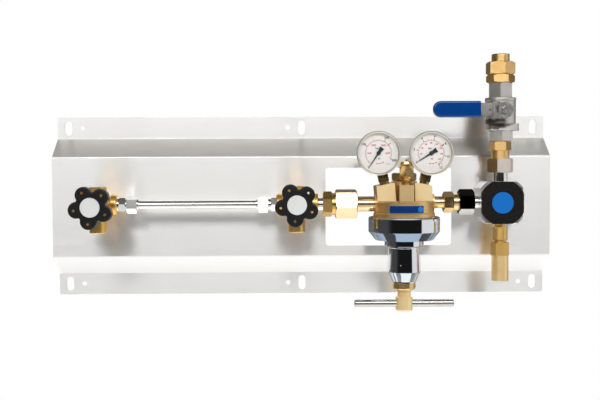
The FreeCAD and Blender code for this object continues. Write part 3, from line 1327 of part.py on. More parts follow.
def lever_sleeve():
    body = block(SLEEVE_X0, SLEEVE_X1, -SLEEVE_Y0, -SLEEVE_Y1, SLEEVE_Z0, SLEEVE_Z1)
    depth = SLEEVE_Y0 - SLEEVE_Y1
    ends = [e for e in body.Edges if abs(e.Length - depth) < 0.01 and e.CenterOfMass.x < SLEEVE_X0 + 1]
    body = body.makeFillet(SLEEVE_END_R, ends)
    rims = []
    for edge in body.Edges:
        spot = edge.CenterOfMass
        on_face = abs(spot.y + SLEEVE_Y0) < 0.01 or abs(spot.y + SLEEVE_Y1) < 0.01
        if on_face and spot.x < SLEEVE_X1 - 0.01:
            rims.append(edge)
    body = body.makeFillet(SLEEVE_EDGE, rims)
    pocket = block(LEVER_TONGUE_X - FIT, SLEEVE_X1 + 5, -LEVER_OUT - FIT, -LEVER_OUT + LEVER_T + FIT,
                   LEVER_AXIS_Z - LEVER_TONGUE_HALF - FIT, LEVER_AXIS_Z + LEVER_TONGUE_HALF + FIT)
    mouth = block(LEVER_MID_X - LEVER_MID_IN - FIT, SLEEVE_X1 + 5, -LEVER_OUT - FIT, -LEVER_OUT + LEVER_T + FIT,
                  LEVER_AXIS_Z - LEVER_MID_HALF - FIT, LEVER_AXIS_Z + LEVER_MID_HALF + FIT)
    return body.cut([pocket, mouth])


def lever_nut():
    nut = nut_bar(STEM, LEVER_NUT_FLATS, -LEVER_OUT - LEVER_NUT_T, -LEVER_OUT)
    return nut.cut(bar(STEM, STEM_THREAD_R + FIT, -LEVER_OUT - LEVER_NUT_T - 1, -LEVER_OUT + 1))


# Union

def union_body():
    shapes = [bar(COLUMN, 11.0 - FIT, END_TOP - 9.5, END_TOP + 1)]
    shapes.append(nut_bar(COLUMN, UNION_FLATS, END_TOP, UNION_HEX_TOP, UNION_TURN))
    shapes.append(bevelled(COLUMN, UNION_THREAD_R, UNION_HEX_TOP - 1, UNION_NOSE_Z, 0.8))
    return fused(shapes).cut(bar(COLUMN, BALL_BORE, END_TOP - 11, UNION_NOSE_Z + 1))


def union_nut():
    body = nut_bar(COLUMN, UNION_NUT_FLATS, UNION_HEX_TOP, UNION_NUT_TOP, UNION_NUT_TURN)
    thread = bar(COLUMN, UNION_THREAD_R + FIT, UNION_HEX_TOP - 1, UNION_NOSE_Z + TAIL_HEAD_L)
    hole = bar(COLUMN, TAIL_R + FIT, UNION_HEX_TOP, UNION_NUT_TOP + 1)
    return body.cut([thread, hole])


def union_tail():
    head = bar(COLUMN, TAIL_HEAD_R, UNION_NOSE_Z, UNION_NOSE_Z + TAIL_HEAD_L)
    shank = bevelled(COLUMN, TAIL_R, UNION_NOSE_Z + 1, TAIL_TOP, 0.5)
    bore = bar(COLUMN, BALL_BORE, UNION_NOSE_Z - 1, TAIL_TOP)
    socket = bar(COLUMN, TAIL_SOCKET_R, TAIL_TOP - TAIL_SOCKET_L, TAIL_TOP + 1)
    return fused([head, shank]).cut([bore, socket])


# Safety relief valve

def relief_body():
    top = BLOCK_Z - BLOCK_W / 2
    shapes = [bar(COLUMN, SRV_NECK_R, SRV_NECK_END - 1, top + PORT_DEPTH - 1)]
    shapes.append(bevelled(COLUMN, SRV_BODY_R, SRV_BODY_END, SRV_NECK_END, 0.9))
    shapes.append(bar(COLUMN, SRV_RING_R, SRV_RING_END, SRV_BODY_END + 1))
    shapes.append(bar(COLUMN, SRV_THREAD_R, SRV_THREAD_END, SRV_RING_END + 1))
    bore = bar(COLUMN, SRV_BORE, SRV_THREAD_END - 1, SRV_SEAT_Z)
    orifice = bar(COLUMN, SRV_ORIFICE, SRV_SEAT_Z - 1, top + PORT_DEPTH)
    return fused(shapes).cut([bore, orifice])


def relief_disc():
    low = SRV_SEAT_Z - SRV_DISC_T
    disc = bar(COLUMN, SRV_BORE - RUN_FIT, low, SRV_SEAT_Z)
    stem = bar(COLUMN, 1.8, HOOD_SHELF_Z + 3, low + 1)
    flats = [
        block(COLUMN_X + s * 4.4, COLUMN_X + s * 8, -AXIS_OUT - 8, -AXIS_OUT + 8, low - 1, SRV_SEAT_Z + 1)
        for s in (-1, 1)
    ]
    return fused([disc.cut(flats), stem])


def relief_spring():
    return coil(COLUMN, 3.4, SMALL_SPRING_WIRE, HOOD_SHELF_Z, SRV_SEAT_Z - SRV_DISC_T, 9)


def relief_hood():
    shapes = [nut_bar(COLUMN, HOOD_FLATS, HOOD_HEX_END, SRV_RING_END, HOOD_TURN, sides=8)]
    shapes.append(bar(COLUMN, HOOD_R, HOOD_END, HOOD_HEX_END + 1))
    thread = bar(COLUMN, SRV_THREAD_R + FIT, SRV_THREAD_END, SRV_RING_END + 1)
    chamber = bar(COLUMN, SRV_BORE, HOOD_SHELF_Z, SRV_THREAD_END + 1)
    shelf_low = HOOD_SHELF_Z - HOOD_SHELF_T
    vents = []
    for i in range(4):
        angle = math.radians(90 * i)
        place = z_line(COLUMN_X + 4.6 * math.cos(angle), AXIS_OUT + 4.6 * math.sin(angle))
        vents.append(bar(place, 0.9, shelf_low - 1, HOOD_SHELF_Z + 1))
    outlet = bar(COLUMN, HOOD_BORE, HOOD_END - 1, shelf_low)
    centre = bar(COLUMN, 2.0, shelf_low - 1, HOOD_SHELF_Z + 1)
    return fused(shapes).cut([thread, chamber, outlet, centre] + vents)


PIECES = [
    back_panel, panel_screws,
    valve_a_body, valve_b_body, valve_glands, valve_a_seat, valve_b_seat,
    valve_a_spindle, valve_b_spindle, valve_a_handwheel, valve_b_handwheel,
    valve_a_cap, valve_b_cap,
    link_tube, tube_studs, tube_nuts, pipe_nipples,
    inlet_adapter, inlet_nut, inlet_stem,
    regulator_body, blue_labels, body_plug, poppet, poppet_spring,
    diaphragm, main_spring, spring_plate, regulator_bonnet,
    adjusting_screw, tee_bar, lock_collar, regulator_relief,
    gauge_cases, gauge_sockets, gauge_dials, gauge_glasses,
    gauge_left_pointer, gauge_right_pointer,
    outlet_stem, outlet_nut, outlet_block, block_cap,
    swivel_nut, brass_adapter,
    ball_valve_body, ball_valve_end, seal_rings, ball, ball_stem,
    lever, lever_sleeve, lever_nut,
    union_body, union_nut, union_tail,
    relief_body, relief_disc, relief_spring, relief_hood,
]

os.makedirs("parts", exist_ok=True)
for piece in PIECES:
    shape = piece()
    shape.exportStep("parts/" + piece.__name__ + ".step")
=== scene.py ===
import math

import bmesh
import bpy
from mathutils import Matrix, Vector


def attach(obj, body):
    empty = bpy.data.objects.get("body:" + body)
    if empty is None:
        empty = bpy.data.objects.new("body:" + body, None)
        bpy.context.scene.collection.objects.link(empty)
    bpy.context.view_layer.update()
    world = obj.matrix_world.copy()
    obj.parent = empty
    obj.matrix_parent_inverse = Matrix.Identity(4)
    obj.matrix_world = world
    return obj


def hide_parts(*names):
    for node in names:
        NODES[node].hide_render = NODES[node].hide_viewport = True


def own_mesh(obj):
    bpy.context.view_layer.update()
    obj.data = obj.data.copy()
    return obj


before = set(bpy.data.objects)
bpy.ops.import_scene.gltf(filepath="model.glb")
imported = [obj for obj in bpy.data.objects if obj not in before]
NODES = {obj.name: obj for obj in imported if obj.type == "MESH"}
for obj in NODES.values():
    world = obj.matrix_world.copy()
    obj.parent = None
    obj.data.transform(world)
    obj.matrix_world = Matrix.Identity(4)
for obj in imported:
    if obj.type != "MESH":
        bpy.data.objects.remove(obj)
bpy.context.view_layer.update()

ROOT = "manifold"


def put_in_scene(obj):
    bpy.context.scene.collection.objects.link(obj)
    return obj


# Camera, fitted to the panel's corners, folds and holes

CAMERA_AT = Vector((-0.02251, -1.40184, 0.05652))
CAMERA_YAW = 0.0142202
CAMERA_PITCH = 0.0345780
CAMERA_ROLL = -0.0041812
CAMERA_FOCAL_PX = 904.244
IMAGE_W = 600
SENSOR_W = 36.0


def make_camera():
    forward = Vector((
        math.sin(CAMERA_YAW) * math.cos(CAMERA_PITCH),
        math.cos(CAMERA_YAW) * math.cos(CAMERA_PITCH),
        -math.sin(CAMERA_PITCH),
    ))
    right = Vector((math.cos(CAMERA_YAW), -math.sin(CAMERA_YAW), 0.0))
    up = right.cross(forward)
    cos_roll = math.cos(CAMERA_ROLL)
    sin_roll = math.sin(CAMERA_ROLL)
    rolled_right = right * cos_roll + up * sin_roll
    rolled_up = up * cos_roll - right * sin_roll
    data = bpy.data.cameras.new("camera")
    data.sensor_fit = "HORIZONTAL"
    data.sensor_width = SENSOR_W
    data.lens = CAMERA_FOCAL_PX / IMAGE_W * SENSOR_W
    data.clip_start = 0.01
    data.clip_end = 50.0
    obj = put_in_scene(bpy.data.objects.new("camera", data))
    turn = Matrix((rolled_right, rolled_up, -forward)).transposed().to_4x4()
    obj.matrix_world = Matrix.Translation(CAMERA_AT) @ turn
    bpy.context.scene.camera = obj


# Light and surroundings

# Grey of the studio from straight down (0) to straight up (1), as (height, grey) pairs
FRONT_SKY = (
    (0.0, 0.85), (0.34, 0.62), (0.43, 0.01), (0.59, 0.01),
    (0.64, 0.72), (0.88, 0.70), (0.965, 0.16), (1.0, 0.10),
)
SIDE_SKY = ((0.0, 0.50), (0.40, 0.10), (0.5, 0.05), (0.62, 0.08), (0.85, 0.28), (1.0, 0.10))
BACK_SKY = ((0.0, 0.70), (0.35, 0.40), (0.5, 0.12), (0.85, 0.20), (1.0, 0.10))
# Where one sky gives way to the next, by the direction's y
FRONT_TO_SIDE = (-0.75, -0.40)
SIDE_TO_BACK = (0.25, 0.60)

# Name, place, target, size and power of each lamp
LAMPS = (
    ("key", (0.0, -1.30, 0.75), (0, -0.05, 0), (2.4, 0.30), 14),
    ("right", (1.60, -0.42, 0.05), (0.149, -0.09, 0), (1.5, 1.1), 4),
    ("under", (0.0, -0.1, -0.30), (0.0, -0.1, -1.0), (2.0, 1.2), 10),
)

FLOOR_HALF_W = 1.6
FLOOR_FRONT_Y = -0.6
FLOOR_BACK_Y = 0.9
FLOOR_Z = -0.62


def area_light(name, at, target, size, power):
    data = bpy.data.lights.new(name, "AREA")
    data.shape = "RECTANGLE"
    data.size = size[0]
    data.size_y = size[1]
    data.energy = power
    obj = put_in_scene(bpy.data.objects.new(name, data))
    away = Vector(at) - Vector(target)
    obj.matrix_world = Matrix.Translation(Vector(at)) @ away.to_track_quat("Z", "Y").to_matrix().to_4x4()
    obj.visible_camera = False


def ramp_node(tree, value, stops):
    """A grey ramp over value, from (position, grey) pairs."""
    node = tree.nodes.new("ShaderNodeValToRGB")
    node.color_ramp.interpolation = "EASE"
    while len(node.color_ramp.elements) < len(stops):
        node.color_ramp.elements.new(0.5)
    for element, (position, grey) in zip(node.color_ramp.elements, stops):
        element.position = position
        element.color = (grey, grey, grey, 1)
    tree.links.new(value, node.inputs[0])
    return node.outputs[0]


def make_world():
    """White to the camera. To the object: a studio, dark at eye level in front, light above and below."""
    world = bpy.data.worlds.new("studio")
    bpy.context.scene.world = world
    world.use_nodes = True
    tree = world.node_tree
    tree.nodes.clear()
    out = tree.nodes.new("ShaderNodeOutputWorld")
    coord = tree.nodes.new("ShaderNodeTexCoord")
    split = tree.nodes.new("ShaderNodeSeparateXYZ")
    tree.links.new(coord.outputs["Generated"], split.inputs[0])
    height = tree.nodes.new("ShaderNodeMapRange")
    height.inputs["From Min"].default_value = -1.0
    height.inputs["From Max"].default_value = 1.0
    tree.links.new(split.outputs["Z"], height.inputs["Value"])
    sky = ramp_node(tree, height.outputs[0], FRONT_SKY)
    for stops, (start, end) in ((SIDE_SKY, FRONT_TO_SIDE), (BACK_SKY, SIDE_TO_BACK)):
        turn = tree.nodes.new("ShaderNodeMapRange")
        turn.interpolation_type = "SMOOTHSTEP"
        turn.inputs["From Min"].default_value = start
        turn.inputs["From Max"].default_value = end
        tree.links.new(split.outputs["Y"], turn.inputs["Value"])
        mixed = tree.nodes.new("ShaderNodeMix")
        mixed.data_type = "RGBA"
        tree.links.new(turn.outputs[0], mixed.inputs[0])
        tree.links.new(sky, mixed.inputs[6])
        tree.links.new(ramp_node(tree, height.outputs[0], stops), mixed.inputs[7])
        sky = mixed.outputs[2]
    seen = tree.nodes.new("ShaderNodeBackground")
    seen.inputs["Color"].default_value = (1, 1, 1, 1)
    lit = tree.nodes.new("ShaderNodeBackground")
    tree.links.new(sky, lit.inputs["Color"])
    path = tree.nodes.new("ShaderNodeLightPath")
    mix = tree.nodes.new("ShaderNodeMixShader")
    tree.links.new(path.outputs["Is Camera Ray"], mix.inputs[0])
    tree.links.new(lit.outputs[0], mix.inputs[1])
    tree.links.new(seen.outputs[0], mix.inputs[2])
    tree.links.new(mix.outputs[0], out.inputs[0])


def make_floor():
    mesh = bpy.data.meshes.new("floor")
    corners = [
        (-FLOOR_HALF_W, FLOOR_FRONT_Y, FLOOR_Z),
        (FLOOR_HALF_W, FLOOR_FRONT_Y, FLOOR_Z),
        (FLOOR_HALF_W, FLOOR_BACK_Y, FLOOR_Z),
        (-FLOOR_HALF_W, FLOOR_BACK_Y, FLOOR_Z),
    ]
    mesh.from_pydata(corners, [], [(0, 1, 2, 3)])
    obj = put_in_scene(bpy.data.objects.new("floor", mesh))
    mat = bpy.data.materials.new("floor_white")
    mat.use_nodes = True
    bsdf = mat.node_tree.nodes["Principled BSDF"]
    bsdf.inputs["Base Color"].default_value = (0.85, 0.85, 0.84, 1)
    bsdf.inputs["Roughness"].default_value = 0.8
    mesh.materials.append(mat)


# Materials

# Stretch of a noise that draws fine lines across each axis
LINES = {"x": (14, 0.6, 0.6), "y": (0.6, 14, 0.6), "z": (0.6, 0.6, 14)}
BUMP_UNIT = 0.001


class Shader:
    """A Principled material whose colour, roughness and bump are driven by object-space noise."""

    def __init__(self, name, color, metallic=0.0, roughness=0.5):
        self.mat = bpy.data.materials.new(name)
        self.mat.use_nodes = True
        self.tree = self.mat.node_tree
        self.bsdf = self.tree.nodes["Principled BSDF"]
        self.set("Metallic", metallic)
        self.set("Roughness", roughness)
        self.set("Base Color", (*color, 1))
        self.color = self.rgb(color)
        self.coord = self.node("ShaderNodeTexCoord").outputs["Object"]
        self.rough = None
        self.base_rough = roughness
        self.height = None

    def set(self, socket, value):
        self.bsdf.inputs[socket].default_value = value

    def node(self, kind, **values):
        node = self.tree.nodes.new(kind)
        for key, value in values.items():
            setattr(node, key, value)
        return node

    def link(self, a, b):
        self.tree.links.new(a, b)

    def rgb(self, color):
        node = self.node("ShaderNodeRGB")
        node.outputs[0].default_value = (*color, 1)
        return node.outputs[0]

    def noise(self, scale, detail=3.0, stretch=(1, 1, 1)):
        mapping = self.node("ShaderNodeMapping")
        mapping.inputs["Scale"].default_value = stretch
        self.link(self.coord, mapping.inputs["Vector"])
        node = self.node("ShaderNodeTexNoise")
        node.inputs["Scale"].default_value = scale
        node.inputs["Detail"].default_value = detail
        self.link(mapping.outputs[0], node.inputs["Vector"])
        return node.outputs["Fac"]

    def ramp(self, value, low, high, to_low=0.0, to_high=1.0):
        node = self.node("ShaderNodeMapRange", interpolation_type="SMOOTHSTEP")
        node.inputs["From Min"].default_value = low
        node.inputs["From Max"].default_value = high
        node.inputs["To Min"].default_value = to_low
        node.inputs["To Max"].default_value = to_high
        self.link(value, node.inputs["Value"])
        return node.outputs[0]

    def math(self, operation, *values):
        node = self.node("ShaderNodeMath", operation=operation)
        for i, value in enumerate(values):
            if isinstance(value, (int, float)):
                node.inputs[i].default_value = value
            else:
                self.link(value, node.inputs[i])
        return node.outputs[0]

    def times(self, a, b):
        return self.math("MULTIPLY", a, b)

    def absolute(self, value):
        return self.math("ABSOLUTE", value)

    def axis(self, name):
        node = self.node("ShaderNodeSeparateXYZ")
        self.link(self.coord, node.inputs[0])
        return node.outputs[name]

    def normal(self):
        return self.node("ShaderNodeTexCoord").outputs["Normal"]

    def normal_axis(self, name):
        node = self.node("ShaderNodeSeparateXYZ")
        self.link(self.normal(), node.inputs[0])
        return node.outputs[name]

    def away_from(self, name, place):
        """Distance along one axis."""
        return self.absolute(self.math("SUBTRACT", self.axis(name), place))

    def distance(self, centre):
        """Distance from a line along y, by its (x, z)."""
        x_off = self.math("SUBTRACT", self.axis("X"), centre[0])
        z_off = self.math("SUBTRACT", self.axis("Z"), centre[1])
        square = self.math("ADD", self.times(x_off, x_off), self.times(z_off, z_off))
        return self.math("SQRT", square)

    def tint(self, mask, color):
        mix = self.node("ShaderNodeMix", data_type="RGBA")
        self.link(mask, mix.inputs[0])
        self.link(self.color, mix.inputs[6])
        mix.inputs[7].default_value = (*color, 1)
        self.color = mix.outputs[2]

    def tarnish(self, color, most=0.55):
        """Soft patches of a second colour."""
        self.tint(self.ramp(self.noise(45, 4), 0.40, 0.72, 0.0, most), color)

    def rougher(self, mask, amount):
        add = self.times(mask, amount)
        self.rough = self.math("ADD", add, self.rough if self.rough else self.base_rough)

    def uneven(self, value, amount):
        """Roughness that goes up and down with a noise."""
        self.rougher(self.ramp(value, 0.3, 0.7, -0.5, 0.5), amount)

    def raise_by(self, value, amount):
        part = self.times(value, amount)
        self.height = self.math("ADD", part, self.height) if self.height else part

    def spread_along(self, axis, amount):
        """Stretch the reflections, with the shader's tangent along one axis."""
        along = self.node("ShaderNodeCombineXYZ")
        along.inputs["XYZ".index(axis.upper())].default_value = 1.0
        self.link(along.outputs[0], self.bsdf.inputs["Tangent"])
        self.set("Anisotropic", amount)

    def done(self, strength=0.6):
        self.link(self.color, self.bsdf.inputs["Base Color"])
        if self.rough:
            self.link(self.rough, self.bsdf.inputs["Roughness"])
        if self.height:
            bump = self.node("ShaderNodeBump")
            bump.inputs["Strength"].default_value = strength
            bump.inputs["Distance"].default_value = BUMP_UNIT
            self.link(self.height, bump.inputs["Height"])
            self.link(bump.outputs[0], self.bsdf.inputs["Normal"])
        return self.mat


PLATE_TOP_Z = 0.0740
FLANGE_FOOT_Z = 0.1040


def brushed_sheet():
    """Stainless sheet brushed along its length, so that reflections smear up and down, with painted light on
    the slopes and flanges and a painted shade on the top flange.
    """
    s = Shader("stainless_sheet", (0.88, 0.87, 0.85), 1.0, 0.33)
    streaks = s.noise(60, 4, (0.35, 8, 8))
    fine = s.noise(260, 2, (0.12, 6, 6))
    s.tint(s.ramp(streaks, 0.35, 0.75, 0.0, 0.16), (0.79, 0.775, 0.745))
    # Painted light: the slopes and flanges above and below the middle face are painted paler.
    s.tint(s.ramp(s.absolute(s.axis("Z")), PLATE_TOP_Z, PLATE_TOP_Z + 0.004), (0.94, 0.935, 0.925))
    # Painted light: the upper slope, between the middle face and the top flange, is painted warm and pale.
    above_plate = s.ramp(s.axis("Z"), PLATE_TOP_Z, PLATE_TOP_Z + 0.002)
    below_flange = s.ramp(s.axis("Z"), FLANGE_FOOT_Z, FLANGE_FOOT_Z - 0.001)
    s.tint(s.times(above_plate, below_flange), (0.97, 0.945, 0.89))
    # Painted shade: the top flange is painted back down, darker than the other flanges.
    s.tint(s.ramp(s.axis("Z"), FLANGE_FOOT_Z - 0.0005, FLANGE_FOOT_Z + 0.0005), (0.86, 0.855, 0.84))
    s.tint(s.ramp(s.noise(3.0, 2), 0.4, 0.7, 0.0, 0.25), (0.92, 0.91, 0.89))
    s.uneven(fine, 0.08)
    s.raise_by(fine, 0.008)
    s.raise_by(streaks, 0.010)
    s.set("Anisotropic", 1.0)
    across = s.node("ShaderNodeVectorMath", operation="CROSS_PRODUCT")
    across.inputs[1].default_value = (1, 0, 0)
    s.link(s.normal(), across.inputs[0])
    s.link(across.outputs[0], s.bsdf.inputs["Tangent"])
    return s.done(0.5)


def turned_metal(name, color, dark, roughness=0.2, metallic=1.0, grain="z", waviness=0.0, satin=0.0):
    """Lathe-turned metal with fine rings round the piece's axis and slight tarnish."""
    s = Shader(name, color, metallic, roughness)
    rings = s.noise(150, 3, LINES[grain])
    s.tarnish(dark)
    s.rougher(s.ramp(s.noise(45, 4), 0.35, 0.75, -0.4, 0.6), 0.10)
    s.uneven(rings, 0.08)
    s.raise_by(rings, 0.004)
    if waviness:
        s.raise_by(s.noise(22, 2), waviness)
    if satin:
        s.spread_along(grain, satin)
    return s.done()


BONNET_NOSE_Z = -0.0955


def polished_chrome():
    """Polished chrome with painted reflections: blue-grey on the faces that look down, paler on the nose, and
    near-black on a band of those faces between front and side.
    """
    s = Shader("chrome_bonnet", (0.80, 0.82, 0.85), 1.0, 0.05)
    s.tarnish((0.74, 0.75, 0.77))
    leans_down = s.ramp(s.normal_axis("Z"), -0.38, -0.46)
    low = s.times(leans_down, s.ramp(s.normal_axis("Z"), -0.90, -0.80))
    side = s.math("ADD", s.absolute(s.normal_axis("X")), s.times(s.noise(90, 3), 0.10))
    painted_black_reflection = s.times(s.ramp(side, 0.33, 0.36), s.ramp(side, 0.60, 0.57))
    nose = s.ramp(s.axis("Z"), BONNET_NOSE_Z, BONNET_NOSE_Z - 0.001)
    # Painted reflections: blue-grey on downward faces, paler on the nose, near-black on a band between front
    # and side.
    s.tint(low, (0.24, 0.32, 0.42))
    s.tint(s.times(low, nose), (0.66, 0.70, 0.74))
    s.tint(s.times(low, painted_black_reflection), (0.035, 0.036, 0.038))
    s.rougher(s.ramp(s.noise(45, 4), 0.35, 0.75, -0.4, 0.6), 0.03)
    s.raise_by(s.noise(30, 2), 0.02)
    return s.done()


def sand_cast(s, dark, most, lumps):
    """Add the colour, grit and lumps of a casting."""
    grit = s.noise(900, 3)
    s.tint(s.ramp(s.noise(60, 5), 0.38, 0.70, 0.0, most), dark)
    s.uneven(grit, 0.14)
    s.raise_by(grit, 0.045)
    s.raise_by(s.noise(260, 2), lumps)


CAST_BOSS_X = 0.1473
CAST_BOSS_HALF = 0.0108
CAST_BELLY_TOP_Z = (0.0092, 0.0102)
CAST_METALLIC = 0.9


def cast_body(color, dark, face):
    """Cast brass, blasted, with paler machined faces above the belly, made paler still by a painted highlight
    for the top lamp's reflection.
    """
    s = Shader("cast_brass", color, CAST_METALLIC, 0.40)
    sand_cast(s, dark, 0.5, 0.04)
    upper = s.ramp(s.axis("Z"), *CAST_BELLY_TOP_Z)
    facing = s.ramp(s.absolute(s.normal_axis("X")), 0.80, 0.55)
    on_boss = s.ramp(s.away_from("X", CAST_BOSS_X), CAST_BOSS_HALF, CAST_BOSS_HALF - 0.0003)
    # Painted highlight: the front faces above the belly are painted paler, partly for their machined finish and
    # partly for the top lamp's reflection; the boss gets less.
    machined_and_highlit = s.times(s.times(upper, facing), s.math("SUBTRACT", 1.0, s.times(on_boss, 0.65)))
    s.tint(machined_and_highlit, face)
    s.link(s.math("SUBTRACT", CAST_METALLIC, s.times(machined_and_highlit, 0.62)), s.bsdf.inputs["Metallic"])
    return s.done(0.7)


def cast_metal(name, color, dark, roughness, metallic):
    s = Shader(name, color, metallic, roughness)
    sand_cast(s, dark, 0.6, 0.05)
    return s.done(0.7)


HOOD_HEX_END = -0.0718


def hood_brass():
    """Pale brass tube below a deeper hexagon."""
    s = Shader("hood_brass", (0.96, 0.70, 0.34), 0.8, 0.40)
    s.tarnish((0.84, 0.56, 0.22))
    s.tint(s.ramp(s.axis("Z"), HOOD_HEX_END - 0.0003, HOOD_HEX_END + 0.0003), (0.68, 0.43, 0.13))
    s.uneven(s.noise(150, 3, LINES["z"]), 0.08)
    s.spread_along("z", 0.6)
    return s.done()


def nickel_nut_painted_dark():
    """Nickel nut painted near-black on every face but the underside, a painted dark reflection; the underside
    keeps the bright metal.
    """
    s = Shader("nickel_nut_painted_dark", (0.62, 0.61, 0.57), 1.0, 0.12)
    s.tarnish((0.52, 0.51, 0.47), 0.5)
    # Painted reflection: all faces but the underside are painted near-black.
    s.tint(s.ramp(s.normal_axis("Z"), -0.60, -0.50), (0.014, 0.013, 0.012))
    s.uneven(s.noise(220), 0.06)
    return s.done()


def swivel_metal():
    """Nickelled hexagon whose sides that look left are painted dark bronze, a painted shade."""
    s = Shader("swivel_nickel", (0.84, 0.76, 0.69), 0.9, 0.46)
    s.tarnish((0.70, 0.62, 0.54), 0.5)
    # Painted shade: faces looking left are painted dark bronze.
    s.tint(s.ramp(s.normal_axis("X"), -0.15, -0.40), (0.34, 0.22, 0.10))
    s.uneven(s.noise(220, 3, LINES["z"]), 0.08)
    return s.done()


VALVE_THROAT_Z = (0.1135, 0.1275)
VALVE_THROAT_X = 0.2925


def valve_nickel():
    """Satin nickel casting, with painted shade in the throat between its lug and the lever."""
    s = Shader("valve_nickel", (0.66, 0.63, 0.59), 0.9, 0.46)
    s.tarnish((0.47, 0.44, 0.40))
    wander = s.times(s.math("SUBTRACT", s.noise(120), 0.5), 0.010)
    height = s.math("ADD", s.axis("Z"), wander)
    across = s.math("ADD", s.axis("X"), wander)
    low, high = VALVE_THROAT_Z
    throat_shade = s.times(s.ramp(height, low - 0.001, low + 0.001), s.ramp(height, high + 0.001, high - 0.001))
    left = s.ramp(across, VALVE_THROAT_X + 0.006, VALVE_THROAT_X - 0.002)
    # Painted shade: the throat under the lever, left of the stem, is painted near-black.
    s.tint(s.times(s.times(throat_shade, left), 0.88), (0.09, 0.07, 0.05))
    s.uneven(s.noise(150, 3, LINES["z"]), 0.08)
    s.spread_along("z", 0.4)
    return s.done()


def moulded(name, color, variation, roughness, grain, coat=0.0, shine=0.5):
    s = Shader(name, color, 0.0, roughness)
    s.set("Specular IOR Level", shine)
    s.tint(s.ramp(s.noise(70), 0.35, 0.7, 0.0, 0.5), variation)
    s.uneven(s.noise(220), 0.08)
    s.raise_by(s.noise(1500, 2), grain)
    s.set("Coat Weight", coat)
    s.set("Coat Roughness", 0.05)
    return s.done()


LABEL_SPOT = (0.1675, -0.0022)
LABEL_SPOT_R = 0.0040
LABEL_CENTRE = (0.1479, -0.00225)
LABEL_BORDER_X = (0.0238, 0.0241)
LABEL_BORDER_Z = (0.0047, 0.0050)
CAP_DISC_X = (0.24, 0.25)


def label_film():
    """Deep blue plate with a round paler field at its right end, and a paler blue disc on the cap."""
    s = Shader("label_blue", (0.004, 0.036, 0.17), 0.0, 0.28)
    s.set("Specular IOR Level", 0.3)
    s.tint(s.ramp(s.noise(90), 0.4, 0.7, 0.0, 0.5), (0.003, 0.045, 0.21))
    s.tint(s.ramp(s.distance(LABEL_SPOT), LABEL_SPOT_R + 0.0002, LABEL_SPOT_R - 0.0002), (0.004, 0.20, 0.62))
    edge_x = s.ramp(s.away_from("X", LABEL_CENTRE[0]), *LABEL_BORDER_X)
    edge_z = s.ramp(s.away_from("Z", LABEL_CENTRE[1]), *LABEL_BORDER_Z)
    s.tint(s.times(s.math("MAXIMUM", edge_z, edge_x), 0.7), (0.06, 0.26, 0.50))
    disc = s.ramp(s.axis("X"), *CAP_DISC_X)
    s.tint(disc, (0.008, 0.17, 0.60))
    s.rougher(disc, 0.04)
    s.raise_by(s.noise(700, 2), 0.006)
    return s.done()


VALVE_A = (-0.2986, 0.0032)
VALVE_B = (-0.0086, 0.0054)
LOBES = 5
LOBE_ANGLE = 46.5
LOBE_HOLE_CENTRE_R = 0.0233
LOBE_HOLE_R = 0.0017


def handwheel_resin(side, centre):
    """Black moulding with a brass eye in each lobe."""
    s = Shader("handwheel_black_" + side, (0.011, 0.011, 0.012), 0.0, 0.38)
    s.set("Specular IOR Level", 0.3)
    s.tint(s.ramp(s.noise(70), 0.35, 0.7, 0.0, 0.5), (0.007, 0.007, 0.008))
    nearest = None
    for i in range(LOBES):
        angle = math.radians(LOBE_ANGLE + 360.0 * i / LOBES)
        x = centre[0] + LOBE_HOLE_CENTRE_R * math.cos(angle)
        z = centre[1] + LOBE_HOLE_CENTRE_R * math.sin(angle)
        away = s.distance((x, z))
        nearest = s.math("MINIMUM", nearest, away) if nearest else away
    s.tint(s.ramp(nearest, LOBE_HOLE_R + 0.00015, LOBE_HOLE_R + 0.00005), (0.85, 0.52, 0.16))
    s.uneven(s.noise(220), 0.08)
    s.raise_by(s.noise(1500, 2), 0.05)
    return s.done()


def clear_glass():
    mat = bpy.data.materials.new("gauge_glass")
    mat.use_nodes = True
    bsdf = mat.node_tree.nodes["Principled BSDF"]
    bsdf.inputs["Base Color"].default_value = (0.97, 0.98, 0.98, 1)
    bsdf.inputs["Roughness"].default_value = 0.03
    bsdf.inputs["IOR"].default_value = 1.35
    bsdf.inputs["Alpha"].default_value = 0.025
    return mat


def dress(names, mat):
    for name in names:
        mesh = NODES[name].data
        if not mesh.materials:
            mesh.materials.append(mat)
        for i in range(len(mesh.materials)):
            mesh.materials[i] = mat


def dress_panel_and_valves():
    gold = (0.95, 0.60, 0.18)
    gold_dark = (0.66, 0.36, 0.07)
    dress(["back_panel"], brushed_sheet())
    dress(["panel_screws"], turned_metal("zinc", (0.72, 0.72, 0.70), (0.5, 0.5, 0.48), 0.32, grain="y"))
    dress(["valve_a_body", "valve_b_body"],
          turned_metal("forged_brass", gold, gold_dark, 0.34, metallic=0.85, grain="y", waviness=0.10))
    dress(["valve_glands", "valve_a_spindle", "valve_b_spindle", "valve_a_seat", "valve_b_seat"],
          turned_metal("gland_brass", gold, gold_dark, grain="y"))
    dress(["link_tube"], turned_metal("bright_tube", (0.90, 0.88, 0.84), (0.78, 0.76, 0.72), 0.12, grain="x"))
    dress(["tube_studs", "tube_nuts", "pipe_nipples"],
          turned_metal("nickel_fittings", (0.88, 0.87, 0.84), (0.72, 0.70, 0.66), 0.16, grain="x"))
    dress(["valve_a_handwheel"], handwheel_resin("a", VALVE_A))
    dress(["valve_b_handwheel"], handwheel_resin("b", VALVE_B))
    dress(["valve_a_cap", "valve_b_cap"],
          moulded("cap_grey", (0.82, 0.83, 0.82), (0.77, 0.78, 0.77), 0.45, 0.02))


